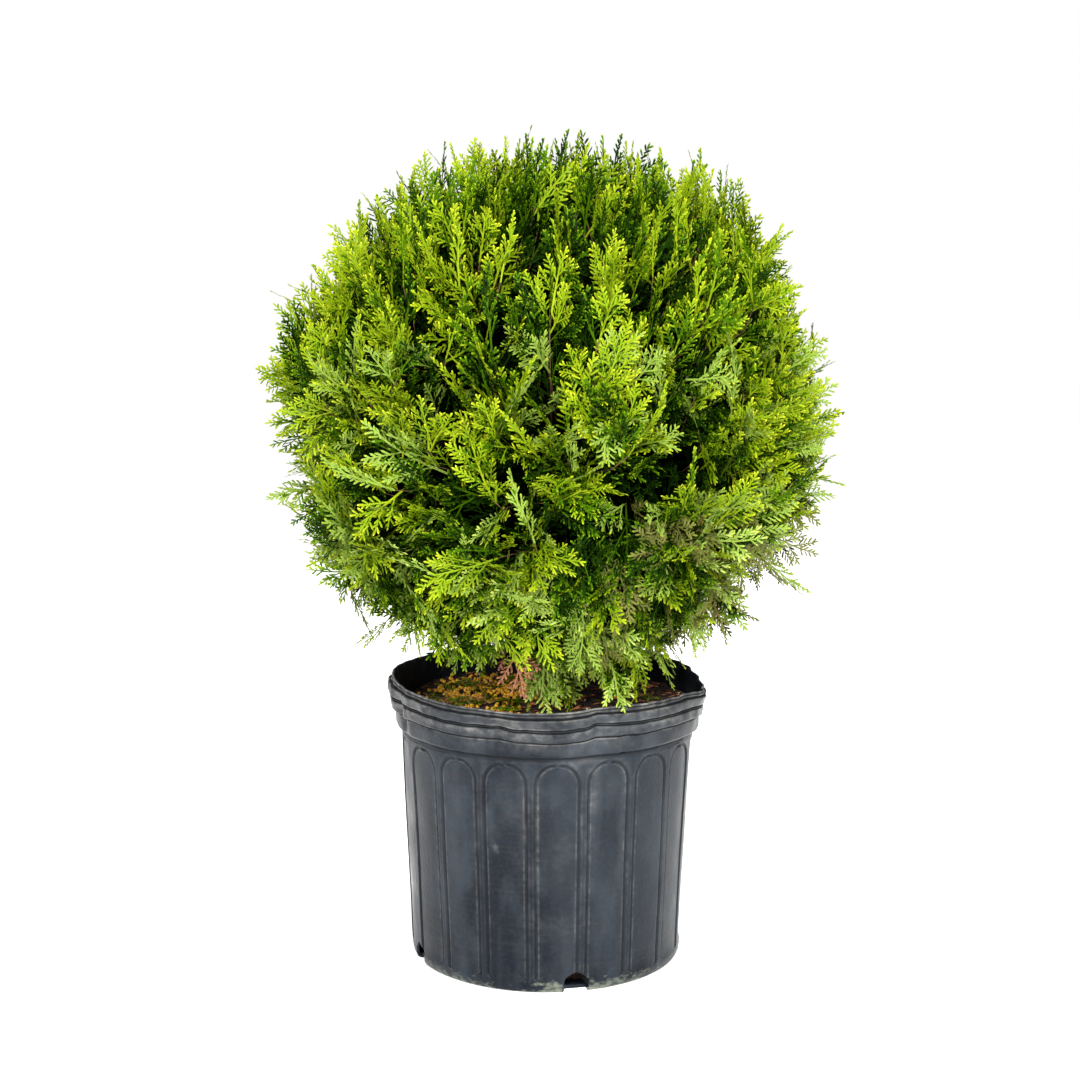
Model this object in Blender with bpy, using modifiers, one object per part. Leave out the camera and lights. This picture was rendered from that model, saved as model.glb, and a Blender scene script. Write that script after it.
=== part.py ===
"""Potted globe arborvitae: a round evergreen shrub growing in a black nursery can.

The frame has its origin at the centre of the can's flat underside, with +Z up and -Y towards the
viewer. Lengths are in metres. The can and its potting mix are turned profiles. A short stem stands
in the mix, tapering boughs leave it, and each bough carries one mass of foliage. The masses share
the globe out between them: each one keeps to a cone of directions seen from the heart of the shrub.
"""

import math
import random

import bmesh
import bpy
from mathutils import Matrix, Vector

# Whole object
GAP = 0.0003
SEED = 17

# Nursery can: a wall with a rolled lip, two bands and a collar above a tapering body
RIM_R = 0.1395
RIM_Z = 0.245
LIP_BOTTOM_Z = 0.2315
BAND_TOP_Z = 0.2275
BAND_BOTTOM_Z = 0.2205
COLLAR_R = 0.1335
COLLAR_BOTTOM_Z = 0.2065
BODY_TOP_R = 0.1292
BODY_TOP_Z = 0.2045
BODY_FOOT_R = 0.1202
BODY_FOOT_Z = 0.0080
UNDERSIDE_R = 0.1155
GROOVE_DEPTH = 0.0020
POT_WALL = 0.0024
POT_FLOOR = 0.0030
POT_STEPS = 40

# Arched panels pressed into the can's body, and the drain holes through its foot
PANEL_COUNT = 18
PANEL_HALF_WIDTH = 0.0190
PANEL_TOP_Z = 0.1985
PANEL_BOTTOM_Z = 0.0150
PANEL_DEPTH = 0.0007
PANEL_SLEEVE_MARGIN = 0.0040
PANEL_FIRST_BEARING = math.radians(4.0)
ARCH_SEGMENTS = 6
DRAIN_BEARINGS = (12.0, 102.0, 192.0, 292.0)
DRAIN_HALF_WIDTH = 0.0105
DRAIN_HEIGHT = 0.0180
DRAIN_INNER_R = 0.1065
CUTTER_INNER_R = 0.1080
CUTTER_OUTER_R = 0.1420

# Potting mix
SOIL_Z = 0.2220
SOIL_CHAMFER = 0.0030

# Stem: from its flat cut at the mix to its tip at the heart of the shrub
STEM_FOOT_R = 0.0115
STEM_TIP_R = 0.0050
STEM_LEAN = 0.0060
STEM_LEAN_FORWARD = 0.6
FLARE_R = 0.0085
FLARE_HEIGHT = 0.0180
FLARE_MIDDLE = 0.35
STEM_POINTS = 9

# Crown: a globe that is squarer above its centre and round below, with longer shoots standing out
HEART = Vector((0.0, 0.0, 0.3700))
GLOBE_CENTRE = Vector((0.0075, 0.0, 0.4730))
GLOBE_R = 0.2330
GLOBE_TOP = 0.2220
GLOBE_UPPER_POWER = 2.5
GLOBE_LOWER_POWER = 2.0
TIP_R_SCALE = 1.0730
TIP_TOP_SCALE = 1.0860

# Masses: how many stand in each ring, and where the ring lies on the globe
RINGS = (
    ("top", 1, 90.0, 0.0),
    ("upper", 5, 47.0, 0.20),
    ("middle", 7, 10.0, 0.25),
    ("lower", 7, -27.0, 0.05),
    ("foot", 4, -60.0, 0.40),
)
CELL_MARGIN = 0.0012
CORE_INNER = 0.70
CORE_OUTER = 0.865
CORE_SIDES = 10
CORE_WIDEST = math.radians(60.0)

# Boughs: one tapering limb from the stem to each mass, and the stem's own tip at the same reach
BOUGH_REACH = 0.0780
STEM_TIP_Z = HEART.z + BOUGH_REACH - GAP
BOUGH_BUTT_R = 0.0040
BOUGH_TIP_R = 0.0024
BOUGH_POINTS = 8
BOUGH_END_RUN = 0.0040
BOUGH_PULL = 0.8
BOUGH_LEVELS = {"upper": 0.358, "middle": 0.314, "lower": 0.270}
BOUGH_LEVEL_STEP = 0.0055
FOOT_LEVEL = 0.2440
FOOT_LEVEL_STEP = 0.0060

# Twigs and flat sprays
STEM_SIDES = 5
TWIG_R = 0.0016
TWIG_SIDES = 3
SPRAY_COUNT = 204
SPRAY_LENGTH = 0.0720
SPRAY_WIDTH = 0.0480
SPRAY_THICKNESS = 0.0015
SPRAY_SPLAY = 0.16
SPRAY_TRIES = 14
LIMB_CLEARANCE = 0.0030
SOIL_CLEARANCE = 0.0040
RIM_CLEARANCE = 0.0060
TIP_ROOT_OVERLAP = 0.0120
TWIG_TAPER = 0.6
TWIG_EVERY = 3
FORK_SHARE = 0.50
STEM_END_SHARE = 0.80
LONG_SHOOT_SHARE = 0.22
FOOT_FORKS = 7
FOOT_STUB = 0.0120
FOOT_STEM_SHARE = 0.62
FOOT_STEM_TAPER = 0.9
FOOT_FIRST_FORK = 0.35
FOOT_FORK_RUN = 0.60
FOOT_SPRAY_SIZE = 0.9
FOOT_INNER_TIPS = 0.82
FOOT_LOWEST_TIP = 0.2320

# Half the outline of a flat spray, from its root to its tip: share of length, share of half width
SPRAY_HALF_OUTLINE = ((0.0, 0.10), (0.46, 1.0), (0.52, 0.34), (0.83, 0.62))

rng = random.Random(SEED)


# Scene and materials


def clear_scene():
    """Remove every object and the collections that held them."""
    for obj in list(bpy.data.objects):
        bpy.data.objects.remove(obj, do_unlink=True)
    for collection in list(bpy.data.collections):
        bpy.data.collections.remove(collection)


def new_collection(name):
    """Add a collection to the scene."""
    collection = bpy.data.collections.new(name)
    bpy.context.scene.collection.children.link(collection)
    return collection


def material(name, colour, roughness, metallic=0.0):
    """A Principled material of one colour."""
    made = bpy.data.materials.new(name)
    made.use_nodes = True
    shader = made.node_tree.nodes["Principled BSDF"]
    shader.inputs["Base Color"].default_value = (*colour, 1.0)
    shader.inputs["Roughness"].default_value = roughness
    shader.inputs["Metallic"].default_value = metallic
    return made


def link_object(name, mesh, collection, finish=None):
    """Make an object of a mesh in a collection, with its material."""
    obj = bpy.data.objects.new(name, mesh)
    collection.objects.link(obj)
    if finish is not None:
        obj.data.materials.append(finish)
    return obj


def mark_as_guide(obj):
    """Keep a cutter or a guide out of the render and draw it as wires."""
    obj.hide_render = True
    obj.display_type = "WIRE"


def apply_modifiers(obj):
    """Turn an object's modifiers into its mesh."""
    bpy.context.view_layer.update()
    evaluated = obj.evaluated_get(bpy.context.evaluated_depsgraph_get())
    mesh = bpy.data.meshes.new_from_object(evaluated)
    obj.modifiers.clear()
    obj.data = mesh


def turned(name, profile, collection, finish=None):
    """Turn a profile of (radius, height) pairs round the Z axis."""
    mesh = bpy.data.meshes.new(name)
    verts = [(radius, 0.0, height) for radius, height in profile]
    edges = [(i, i + 1) for i in range(len(verts) - 1)]
    mesh.from_pydata(verts, edges, [])
    obj = link_object(name, mesh, collection, finish)
    screw = obj.modifiers.new("Turn", "SCREW")
    screw.steps = POT_STEPS
    screw.render_steps = POT_STEPS
    screw.use_merge_vertices = True
    screw.merge_threshold = 0.00005
    apply_modifiers(obj)
    return obj


# Can and potting mix


def inner_wall():
    """Inside of the can, from the floor's edge up to the lip."""
    return [
        (BODY_FOOT_R - POT_WALL - 0.0010, POT_FLOOR),
        (BODY_TOP_R - POT_WALL, BODY_TOP_Z),
        (COLLAR_R - POT_WALL - 0.0010, COLLAR_BOTTOM_Z + POT_WALL),
        (COLLAR_R - POT_WALL + 0.0010, BAND_BOTTOM_Z),
        (RIM_R - 0.0060, RIM_Z - 0.0012),
    ]


def outer_wall():
    """Outside of the can, from the lip down to the underside."""
    band_r = RIM_R - 0.0028
    return [
        (RIM_R - 0.0040, RIM_Z),
        (RIM_R - 0.0012, RIM_Z - 0.0008),
        (RIM_R, RIM_Z - 0.0030),
        (RIM_R - 0.0004, LIP_BOTTOM_Z),
        (band_r - GROOVE_DEPTH, LIP_BOTTOM_Z - 0.0012),
        (band_r - GROOVE_DEPTH, BAND_TOP_Z + 0.0010),
        (band_r, BAND_TOP_Z),
        (band_r - 0.0012, BAND_BOTTOM_Z),
        (COLLAR_R, BAND_BOTTOM_Z - 0.0016),
        (COLLAR_R - 0.0010, COLLAR_BOTTOM_Z),
        (BODY_TOP_R, BODY_TOP_Z),
        (BODY_FOOT_R, BODY_FOOT_Z),
        (BODY_FOOT_R - 0.0016, BODY_FOOT_Z * 0.3),
        (UNDERSIDE_R, 0.0),
    ]


def inner_radius(height):
    """Radius of the can's inside at a height."""
    wall = inner_wall()
    for (low_r, low_z), (high_r, high_z) in zip(wall, wall[1:]):
        if height <= high_z:
            share = (height - low_z) / (high_z - low_z)
            return low_r + share * (high_r - low_r)
    return wall[-1][0]


def outer_radius(height):
    """Radius of the can's tapering body at a height."""
    share = (height - BODY_FOOT_Z) / (BODY_TOP_Z - BODY_FOOT_Z)
    return BODY_FOOT_R + share * (BODY_TOP_R - BODY_FOOT_R)


def arch_points(half_width, low, high, segments):
    """Outline of a rounded arch as (across, height) pairs."""
    spring = high - half_width
    points = [(-half_width, low), (half_width, low)]
    for step in range(segments + 1):
        turn = math.pi * step / segments
        points.append((half_width * math.cos(turn), spring + half_width * math.sin(turn)))
    return points


def add_radial_prism(bm, outline, inner, outer, bearing):
    """Add the outline as a prism that runs outwards between two radii at a bearing."""
    verts = [bm.verts.new((across, -inner, height)) for across, height in outline]
    face = bm.faces.new(verts)
    grown = bmesh.ops.extrude_face_region(bm, geom=[face])
    moved = [item for item in grown["geom"] if isinstance(item, bmesh.types.BMVert)]
    bmesh.ops.translate(bm, verts=moved, vec=(0.0, inner - outer, 0.0))
    bmesh.ops.rotate(bm, verts=verts + moved, cent=(0, 0, 0), matrix=Matrix.Rotation(bearing, 3, "Z"))


def radial_prisms(name, outline, inner, outer, bearings, collection):
    """One closed prism at each bearing, all in one mesh."""
    bm = bmesh.new()
    for bearing in bearings:
        add_radial_prism(bm, outline, inner, outer, bearing)
    bmesh.ops.recalc_face_normals(bm, faces=bm.faces)
    mesh = bpy.data.meshes.new(name)
    bm.to_mesh(mesh)
    bm.free()
    obj = link_object(name, mesh, collection)
    mark_as_guide(obj)
    return obj


def boolean(obj, other, operation):
    """Cut, join or intersect an object with another, and keep the result."""
    modifier = obj.modifiers.new(operation.title(), "BOOLEAN")
    modifier.operation = operation
    modifier.object = other
    apply_modifiers(obj)


def panel_cutter(collection):
    """Arched panels as deep as the pressing, following the body's taper."""
    high = PANEL_TOP_Z + PANEL_SLEEVE_MARGIN
    low = PANEL_BOTTOM_Z - PANEL_SLEEVE_MARGIN
    sleeve = [
        (outer_radius(high) + PANEL_SLEEVE_MARGIN, high),
        (outer_radius(low) + PANEL_SLEEVE_MARGIN, low),
        (outer_radius(low) - PANEL_DEPTH, low),
        (outer_radius(high) - PANEL_DEPTH, high),
    ]
    cutter = turned("panel_sleeve", sleeve + sleeve[:1], collection)
    mark_as_guide(cutter)
    bearings = [PANEL_FIRST_BEARING + math.tau * i / PANEL_COUNT for i in range(PANEL_COUNT)]
    outline = arch_points(PANEL_HALF_WIDTH, PANEL_BOTTOM_Z, PANEL_TOP_Z, ARCH_SEGMENTS)
    arches = radial_prisms("panel_arches", outline, CUTTER_INNER_R, CUTTER_OUTER_R, bearings, collection)
    boolean(cutter, arches, "INTERSECT")
    return cutter


def build_pot(parts, guides, finish):
    """Nursery can: a thin wall with its bands, arched panels and drain holes."""
    profile = [(0.0, POT_FLOOR)] + inner_wall() + outer_wall() + [(0.0, 0.0)]
    pot = turned("pot", profile, parts, finish)
    boolean(pot, panel_cutter(guides), "DIFFERENCE")
    bearings = [math.radians(bearing) for bearing in DRAIN_BEARINGS]
    outline = arch_points(DRAIN_HALF_WIDTH, -POT_FLOOR, DRAIN_HEIGHT, ARCH_SEGMENTS)
    drains = radial_prisms("drain_holes", outline, DRAIN_INNER_R, CUTTER_OUTER_R, bearings, guides)
    boolean(pot, drains, "DIFFERENCE")
    return pot


def build_potting_mix(parts, finish):
    """Bark mix that fills the can to a little under its rim."""
    low = POT_FLOOR + GAP
    wall = [(radius - GAP, height) for radius, height in inner_wall()[1:4] if height < SOIL_Z - 0.006]
    profile = [(0.0, SOIL_Z), (inner_radius(SOIL_Z) - SOIL_CHAMFER, SOIL_Z)]
    profile.append((inner_radius(SOIL_Z - SOIL_CHAMFER) - 2 * GAP, SOIL_Z - SOIL_CHAMFER))
    profile += [(radius - GAP, height) for radius, height in reversed(wall)]
    profile += [(inner_wall()[0][0] - 2 * GAP, low), (0.0, low)]
    return turned("potting_mix", profile, parts, finish)


# Limbs


def stem_axis(height):
    """Point on the stem's leaning axis at a height."""
    share = max(0.0, (height - SOIL_Z) / (STEM_TIP_Z - SOIL_Z))
    lean = STEM_LEAN * math.sin(math.pi * share) ** 2
    return Vector((lean, -STEM_LEAN_FORWARD * lean, height))


def stem_radius(height):
    """Radius of the stem at a height, with the root flare at its foot."""
    share = (height - SOIL_Z) / (STEM_TIP_Z - SOIL_Z)
    flare = FLARE_R * max(0.0, 1.0 - (height - SOIL_Z) / FLARE_HEIGHT) ** 2
    return STEM_FOOT_R + (STEM_TIP_R - STEM_FOOT_R) * share + flare


def tapering_limb(name, points, radii, resolution, collection, finish):
    """A limb as a round tube with flat ends, its radius given at each point."""
    curve = bpy.data.curves.new(name, "CURVE")
    curve.dimensions = "3D"
    curve.bevel_depth = 1.0
    curve.bevel_resolution = resolution
    curve.use_fill_caps = True
    spline = curve.splines.new("POLY")
    spline.points.add(len(points) - 1)
    for control, point, radius in zip(spline.points, points, radii):
        control.co = (*point, 1.0)
        control.radius = radius
    guide = bpy.data.objects.new(name + "_axis", curve)
    collection.objects.link(guide)
    bpy.context.view_layer.update()
    evaluated = guide.evaluated_get(bpy.context.evaluated_depsgraph_get())
    mesh = bpy.data.meshes.new_from_object(evaluated)
    bm = bmesh.new()
    bm.from_mesh(mesh)
    bmesh.ops.remove_doubles(bm, verts=bm.verts, dist=0.00001)
    bmesh.ops.recalc_face_normals(bm, faces=bm.faces)
    bm.to_mesh(mesh)
    bm.free()
    mesh.materials.clear()
    limb = link_object(name, mesh, collection, finish)
    limb.matrix_world = guide.matrix_world
    bpy.data.objects.remove(guide, do_unlink=True)
    mesh.shade_smooth()
    return limb


def build_stem(parts, finish):
    """Short stem with its root flare, cut flat where it enters the mix."""
    foot = SOIL_Z + GAP
    heights = [foot, foot + FLARE_MIDDLE * FLARE_HEIGHT, foot + FLARE_HEIGHT]
    rest = STEM_POINTS - len(heights)
    for step in range(1, rest + 1):
        heights.append(heights[2] + (STEM_TIP_Z - heights[2]) * step / rest)
    points = [stem_axis(height) for height in heights]
    radii = [stem_radius(height) for height in heights]
    return tapering_limb("trunk", points, radii, 3, parts, finish)


def hermite(start, start_pull, end, end_pull, share):
    """Point on a smooth curve between two points with a pull at each."""
    s2 = share * share
    s3 = s2 * share
    return (
        start * (2 * s3 - 3 * s2 + 1)
        + start_pull * (s3 - 2 * s2 + share)
        + end * (3 * s2 - 2 * s3)
        + end_pull * (s3 - s2)
    )


def bough_path(direction, level):
    """A bough's axis: level where it leaves the stem, then turning to its mass. Both ends are straight."""
    bearing = Vector((direction.x, direction.y, 0.0)).normalized()
    stem_r = stem_radius(level - BOUGH_BUTT_R)
    butt = stem_axis(level) + bearing * (stem_r + GAP)
    start = butt + bearing * BOUGH_END_RUN
    tip = HEART + direction * (BOUGH_REACH - GAP)
    end = tip - direction * BOUGH_END_RUN
    pull = (end - start).length
    path = [butt]
    for step in range(BOUGH_POINTS - 2):
        share = step / (BOUGH_POINTS - 3)
        path.append(hermite(start, bearing * pull * BOUGH_PULL, end, direction * pull, share))
    return path + [tip]


# Crown: the globe, and the cone of directions that each mass keeps to


def globe_share(point):
    """One on the globe's surface, less inside it and more outside it."""
    offset = point - GLOBE_CENTRE
    level = math.hypot(offset.x, offset.y) / GLOBE_R
    rise = abs(offset.z) / (GLOBE_TOP if offset.z > 0.0 else GLOBE_R)
    power = GLOBE_UPPER_POWER if offset.z > 0.0 else GLOBE_LOWER_POWER
    return (level**power + rise**power) ** (1.0 / power)


def reach(direction, share=1.0):
    """Distance from the heart along a direction to a share of the globe."""
    near, far = 0.0, 0.6
    for _ in range(26):
        middle = 0.5 * (near + far)
        if globe_share(HEART + direction * middle) < share:
            near = middle
        else:
            far = middle
    return near


def globe_point(bearing, elevation):
    """Point on the globe's surface at a bearing and elevation seen from its centre."""
    level = math.cos(elevation)
    ray = Vector((level * math.cos(bearing), level * math.sin(bearing), math.sin(elevation)))
    return GLOBE_CENTRE + ray / globe_share(GLOBE_CENTRE + ray)


def mass_directions():
    """Name, ring and direction from the heart of each mass."""
    masses = []
    for ring, count, elevation, turn in RINGS:
        for index in range(count):
            bearing = math.tau * (index + turn) / count
            target = globe_point(bearing, math.radians(elevation))
            name = "foliage_" + ring if count == 1 else f"foliage_{ring}_{index + 1}"
            masses.append((name, ring, (target - HEART).normalized()))
    return masses


def limb_level(ring, place, count):
    """Height at which a ring's limb leaves the stem, well apart from the limbs beside it."""
    if ring == "foot":
        return FOOT_LEVEL + FOOT_LEVEL_STEP * (place % 2)
    return BOUGH_LEVELS[ring] + BOUGH_LEVEL_STEP * (2 * place % count)


def spread_directions(count):
    """Directions spread evenly over a ball along a golden spiral."""
    golden = math.pi * (3.0 - math.sqrt(5.0))
    rays = []
    for index in range(count):
        rise = 1.0 - 2.0 * (index + 0.5) / count
        level = math.sqrt(1.0 - rise * rise)
        turn = golden * index
        rays.append(Vector((level * math.cos(turn), level * math.sin(turn), rise)))
    return rays


def owner(direction, masses):
    """Index of the mass whose direction lies nearest."""
    return max(range(len(masses)), key=lambda i: direction.dot(masses[i][2]))


def in_cell(point, index, masses):
    """Whether a point keeps clear of the planes between a mass and its neighbours."""
    own = masses[index][2]
    offset = point - HEART
    for other_index, (_, _, other) in enumerate(masses):
        if other_index == index:
            continue
        across = own - other
        if offset.dot(across) < CELL_MARGIN * across.length:
            return False
    return True


def distance_to_path(point, path):
    """Shortest distance from a point to a chain of straight stretches."""
    best = 1.0
    for start, end in zip(path, path[1:]):
        run = end - start
        share = min(1.0, max(0.0, (point - start).dot(run) / run.length_squared))
        best = min(best, (point - start - run * share).length)
    return best


def clear_of_made_parts(point, limbs):
    """Whether a point keeps off the limbs, the mix and the can's rim."""
    for path, radius in limbs:
        if distance_to_path(point, path) < radius + LIMB_CLEARANCE:
            return False
    level = math.hypot(point.x, point.y)
    if point.z < SOIL_Z + SOIL_CLEARANCE:
        return False
    near_rim = inner_radius(RIM_Z) - RIM_CLEARANCE < level < RIM_R + RIM_CLEARANCE
    return not (near_rim and point.z < RIM_Z + RIM_CLEARANCE)


# Foliage


def spray_outline(length, width):
    """Outline of a flat toothed spray as (along, across) pairs."""
    one_side = [(along * length, across * width * 0.5) for along, across in SPRAY_HALF_OUTLINE]
    other_side = [(along, -across) for along, across in reversed(one_side)]
    return one_side + [(length, 0.0)] + other_side


def spray_frame(root, axis, roll):
    """Matrix that lays a spray at its root, along its axis, rolled about it."""
    side = axis.orthogonal().normalized()
    side.rotate(Matrix.Rotation(roll, 3, axis))
    normal = axis.cross(side).normalized()
    frame = Matrix((axis, side, normal)).transposed().to_4x4()
    frame.translation = root
    return frame


def flat_spray(name, outline, frame, collection):
    """A flat spray as an outline with an even thickness."""
    bm = bmesh.new()
    low = -0.5 * SPRAY_THICKNESS
    face = bm.faces.new([bm.verts.new((along, across, low)) for along, across in outline])
    grown = bmesh.ops.extrude_face_region(bm, geom=[face])
    moved = [item for item in grown["geom"] if isinstance(item, bmesh.types.BMVert)]
    bmesh.ops.translate(bm, verts=moved, vec=(0.0, 0.0, SPRAY_THICKNESS))
    bmesh.ops.recalc_face_normals(bm, faces=bm.faces)
    bmesh.ops.transform(bm, matrix=frame, verts=bm.verts)
    mesh = bpy.data.meshes.new(name)
    bm.to_mesh(mesh)
    bm.free()
    return link_object(name, mesh, collection)


def twig(name, start, end, start_r, end_r, collection, sides=TWIG_SIDES):
    """A straight tapering twig between two points."""
    run = end - start
    bm = bmesh.new()
    bmesh.ops.create_cone(
        bm, cap_ends=True, segments=sides, radius1=start_r, radius2=end_r, depth=run.length
    )
    turn = run.to_track_quat("Z", "Y").to_matrix().to_4x4()
    turn.translation = (start + end) * 0.5
    bmesh.ops.transform(bm, matrix=turn, verts=bm.verts)
    mesh = bpy.data.meshes.new(name)
    bm.to_mesh(mesh)
    bm.free()
    return link_object(name, mesh, collection)


def border_rays(index, masses):
    """Rays round a mass's direction, each leaning out as far as its cone allows."""
    direction = masses[index][2]
    side = direction.orthogonal().normalized()
    rays = []
    for step in range(CORE_SIDES):
        lean_axis = side.copy()
        lean_axis.rotate(Matrix.Rotation(math.tau * step / CORE_SIDES, 3, direction))
        inside, outside = 0.0, CORE_WIDEST
        for _ in range(16):
            lean = 0.5 * (inside + outside)
            ray = Matrix.Rotation(lean, 3, lean_axis) @ direction
            if in_cell(HEART + ray * reach(ray) * CORE_INNER, index, masses):
                inside = lean
            else:
                outside = lean
        rays.append(Matrix.Rotation(inside, 3, lean_axis) @ direction)
    return rays


def core_mesh(name, index, masses):
    """Dense core of a mass: the hull of a slice of its cone under the globe's surface."""
    direction = masses[index][2]
    border = border_rays(index, masses)
    middle = [direction] + [(direction + ray).normalized() for ray in border[::2]]
    bm = bmesh.new()
    for ray in border:
        bm.verts.new(HEART + ray * reach(ray) * CORE_INNER)
    for ray in border + middle:
        bm.verts.new(HEART + ray * reach(ray) * CORE_OUTER)
    hull = bmesh.ops.convex_hull(bm, input=bm.verts)
    loose = [item for item in hull["geom_interior"] if isinstance(item, bmesh.types.BMVert)]
    bmesh.ops.delete(bm, geom=loose, context="VERTS")
    bmesh.ops.recalc_face_normals(bm, faces=bm.faces)
    mesh = bpy.data.meshes.new(name)
    bm.to_mesh(mesh)
    bm.free()
    return mesh


def spray_points(root, axis, outline, frame):
    """Points that stand for a spray when its room is tested."""
    points = [frame @ Vector((along, across, 0.0)) for along, across in outline]
    points += [root + axis * outline[4][0] * share for share in (0.25, 0.5, 0.75)]
    return points


def place_spray(target, start, index, masses, limbs, size):
    """Find a root, axis and roll whose spray keeps to its mass's room, or nothing."""
    aim = (target - start).normalized()
    for attempt in range(SPRAY_TRIES):
        narrow = 1.0 - 0.45 * attempt / SPRAY_TRIES
        length = SPRAY_LENGTH * size * (1.0 - 0.2 * attempt / SPRAY_TRIES)
        splay = Vector([rng.uniform(-1.0, 1.0) for _ in range(3)]) * SPRAY_SPLAY
        axis = (aim + splay).normalized()
        root = target - axis * length
        outline = spray_outline(length, SPRAY_WIDTH * size * narrow)
        frame = spray_frame(root, axis, rng.uniform(0.0, math.tau))
        points = spray_points(root, axis, outline, frame)
        fits = all(in_cell(point, index, masses) for point in points)
        if fits and all(clear_of_made_parts(point, limbs) for point in points):
            return root, axis, outline, frame
    return None


def spray_targets(masses):
    """Tip of each spray on the crown's outline, dealt to the mass that owns it."""
    shares = [[] for _ in masses]
    for ray in spread_directions(SPRAY_COUNT):
        base = GLOBE_CENTRE + ray / globe_share(GLOBE_CENTRE + ray)
        rise = max(0.0, ray.z) ** 3
        longest = TIP_R_SCALE + (TIP_TOP_SCALE - TIP_R_SCALE) * rise
        is_long = rng.random() < LONG_SHOOT_SHARE
        far = longest if is_long else 1.0 + (longest - 1.0) * rng.uniform(0.0, 0.75)
        tip = GLOBE_CENTRE + (base - GLOBE_CENTRE) * far
        direction = (tip - HEART).normalized()
        shares[owner(direction, masses)].append(tip)
    for index, (_, ring, _) in enumerate(masses):
        if ring == "foot":
            inner = [HEART.lerp(tip, FOOT_INNER_TIPS) for tip in shares[index][::2]]
            shares[index] += [Vector((tip.x, tip.y, max(tip.z, FOOT_LOWEST_TIP))) for tip in inner]
    for axis in ((1, 0, 0), (-1, 0, 0), (0, 1, 0), (0, -1, 0), (0, 0, 1)):
        ray = Vector(axis)
        furthest = TIP_TOP_SCALE if ray.z > 0.0 else TIP_R_SCALE
        tip = GLOBE_CENTRE + ray / globe_share(GLOBE_CENTRE + ray) * furthest
        shares[owner((tip - HEART).normalized(), masses)].append(tip)
    return shares


def join_pieces(obj, pieces):
    """Fuse a collection of twigs and sprays into an object and remove them."""
    union = obj.modifiers.new("Join", "BOOLEAN")
    union.operation = "UNION"
    union.operand_type = "COLLECTION"
    union.collection = pieces
    apply_modifiers(obj)
    for piece in list(pieces.objects):
        bpy.data.objects.remove(piece, do_unlink=True)
    bpy.data.collections.remove(pieces)


def island_of(seed):
    """Faces joined to one face over shared edges."""
    found = {seed}
    waiting = [seed]
    while waiting:
        face = waiting.pop()
        for edge in face.edges:
            for neighbour in edge.link_faces:
                if neighbour not in found:
                    found.add(neighbour)
                    waiting.append(neighbour)
    return found


def keep_largest_body(obj):
    """Drop loose scraps and sealed hollows, and keep the body with the most faces."""
    bm = bmesh.new()
    bm.from_mesh(obj.data)
    waiting = set(bm.faces)
    bodies = []
    while waiting:
        body = island_of(next(iter(waiting)))
        bodies.append(body)
        waiting -= body
    bodies.sort(key=len)
    for scrap in bodies[:-1]:
        bmesh.ops.delete(bm, geom=list(scrap), context="FACES")
    loose = [vert for vert in bm.verts if not vert.link_faces]
    bmesh.ops.delete(bm, geom=loose, context="VERTS")
    bm.to_mesh(obj.data)
    bm.free()


def crown_mass(index, masses, tips, limbs, parts, finish):
    """A mass with a dense core: stem, twigs and core, with flat sprays standing out."""
    name, _, direction = masses[index]
    full = reach(direction)
    mass = link_object(name, core_mesh(name, index, masses), parts, finish)
    pieces = new_collection(name + "_pieces")
    start = HEART + direction * BOUGH_REACH
    fork = HEART + direction * full * FORK_SHARE
    centre = HEART + direction * full * STEM_END_SHARE
    twig(name + "_stem", start, centre, BOUGH_TIP_R, TWIG_R, pieces, STEM_SIDES)
    for number, tip in enumerate(tips):
        found = place_spray(tip, HEART, index, masses, limbs, 1.0)
        if found is None:
            continue
        root, axis, outline, frame = found
        flat_spray(f"{name}_spray_{number}", outline, frame, pieces)
        end = root + axis * TIP_ROOT_OVERLAP
        if number % TWIG_EVERY == 0 and in_cell(end, index, masses):
            twig(f"{name}_twig_{number}", fork, end, TWIG_R, TWIG_R * TWIG_TAPER, pieces)
    join_pieces(mass, pieces)
    keep_largest_body(mass)
    return mass


def foot_mass(index, masses, tips, limbs, parts, finish):
    """A drooping mass at the foot: a stem off the trunk with open twigs and sprays."""
    name, _, direction = masses[index]
    bearing = Vector((direction.x, direction.y, 0.0)).normalized()
    level = limb_level("foot", index, 0)
    start = stem_axis(level) + bearing * (stem_radius(level - BOUGH_TIP_R) + GAP)
    first = start + bearing * FOOT_STUB
    centre = HEART + direction * reach(direction) * FOOT_STEM_SHARE
    mass = twig(name, start, first + bearing * BOUGH_TIP_R, BOUGH_TIP_R, BOUGH_TIP_R, parts, STEM_SIDES)
    mass.data.materials.append(finish)
    pieces = new_collection(name + "_pieces")
    twig(name + "_stem", first, centre, BOUGH_TIP_R * FOOT_STEM_TAPER, TWIG_R, pieces, STEM_SIDES)
    for number, tip in enumerate(tips):
        found = place_spray(tip, first, index, masses, limbs, FOOT_SPRAY_SIZE)
        if found is None:
            continue
        root, axis, outline, frame = found
        along = FOOT_FIRST_FORK + FOOT_FORK_RUN * (number % FOOT_FORKS) / FOOT_FORKS
        fork = first.lerp(centre, along)
        flat_spray(f"{name}_spray_{number}", outline, frame, pieces)
        end = root + axis * TIP_ROOT_OVERLAP
        twig(f"{name}_twig_{number}", fork, end, TWIG_R, TWIG_R * TWIG_TAPER, pieces)
    join_pieces(mass, pieces)
    keep_largest_body(mass)
    return mass


# Assembly


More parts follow.
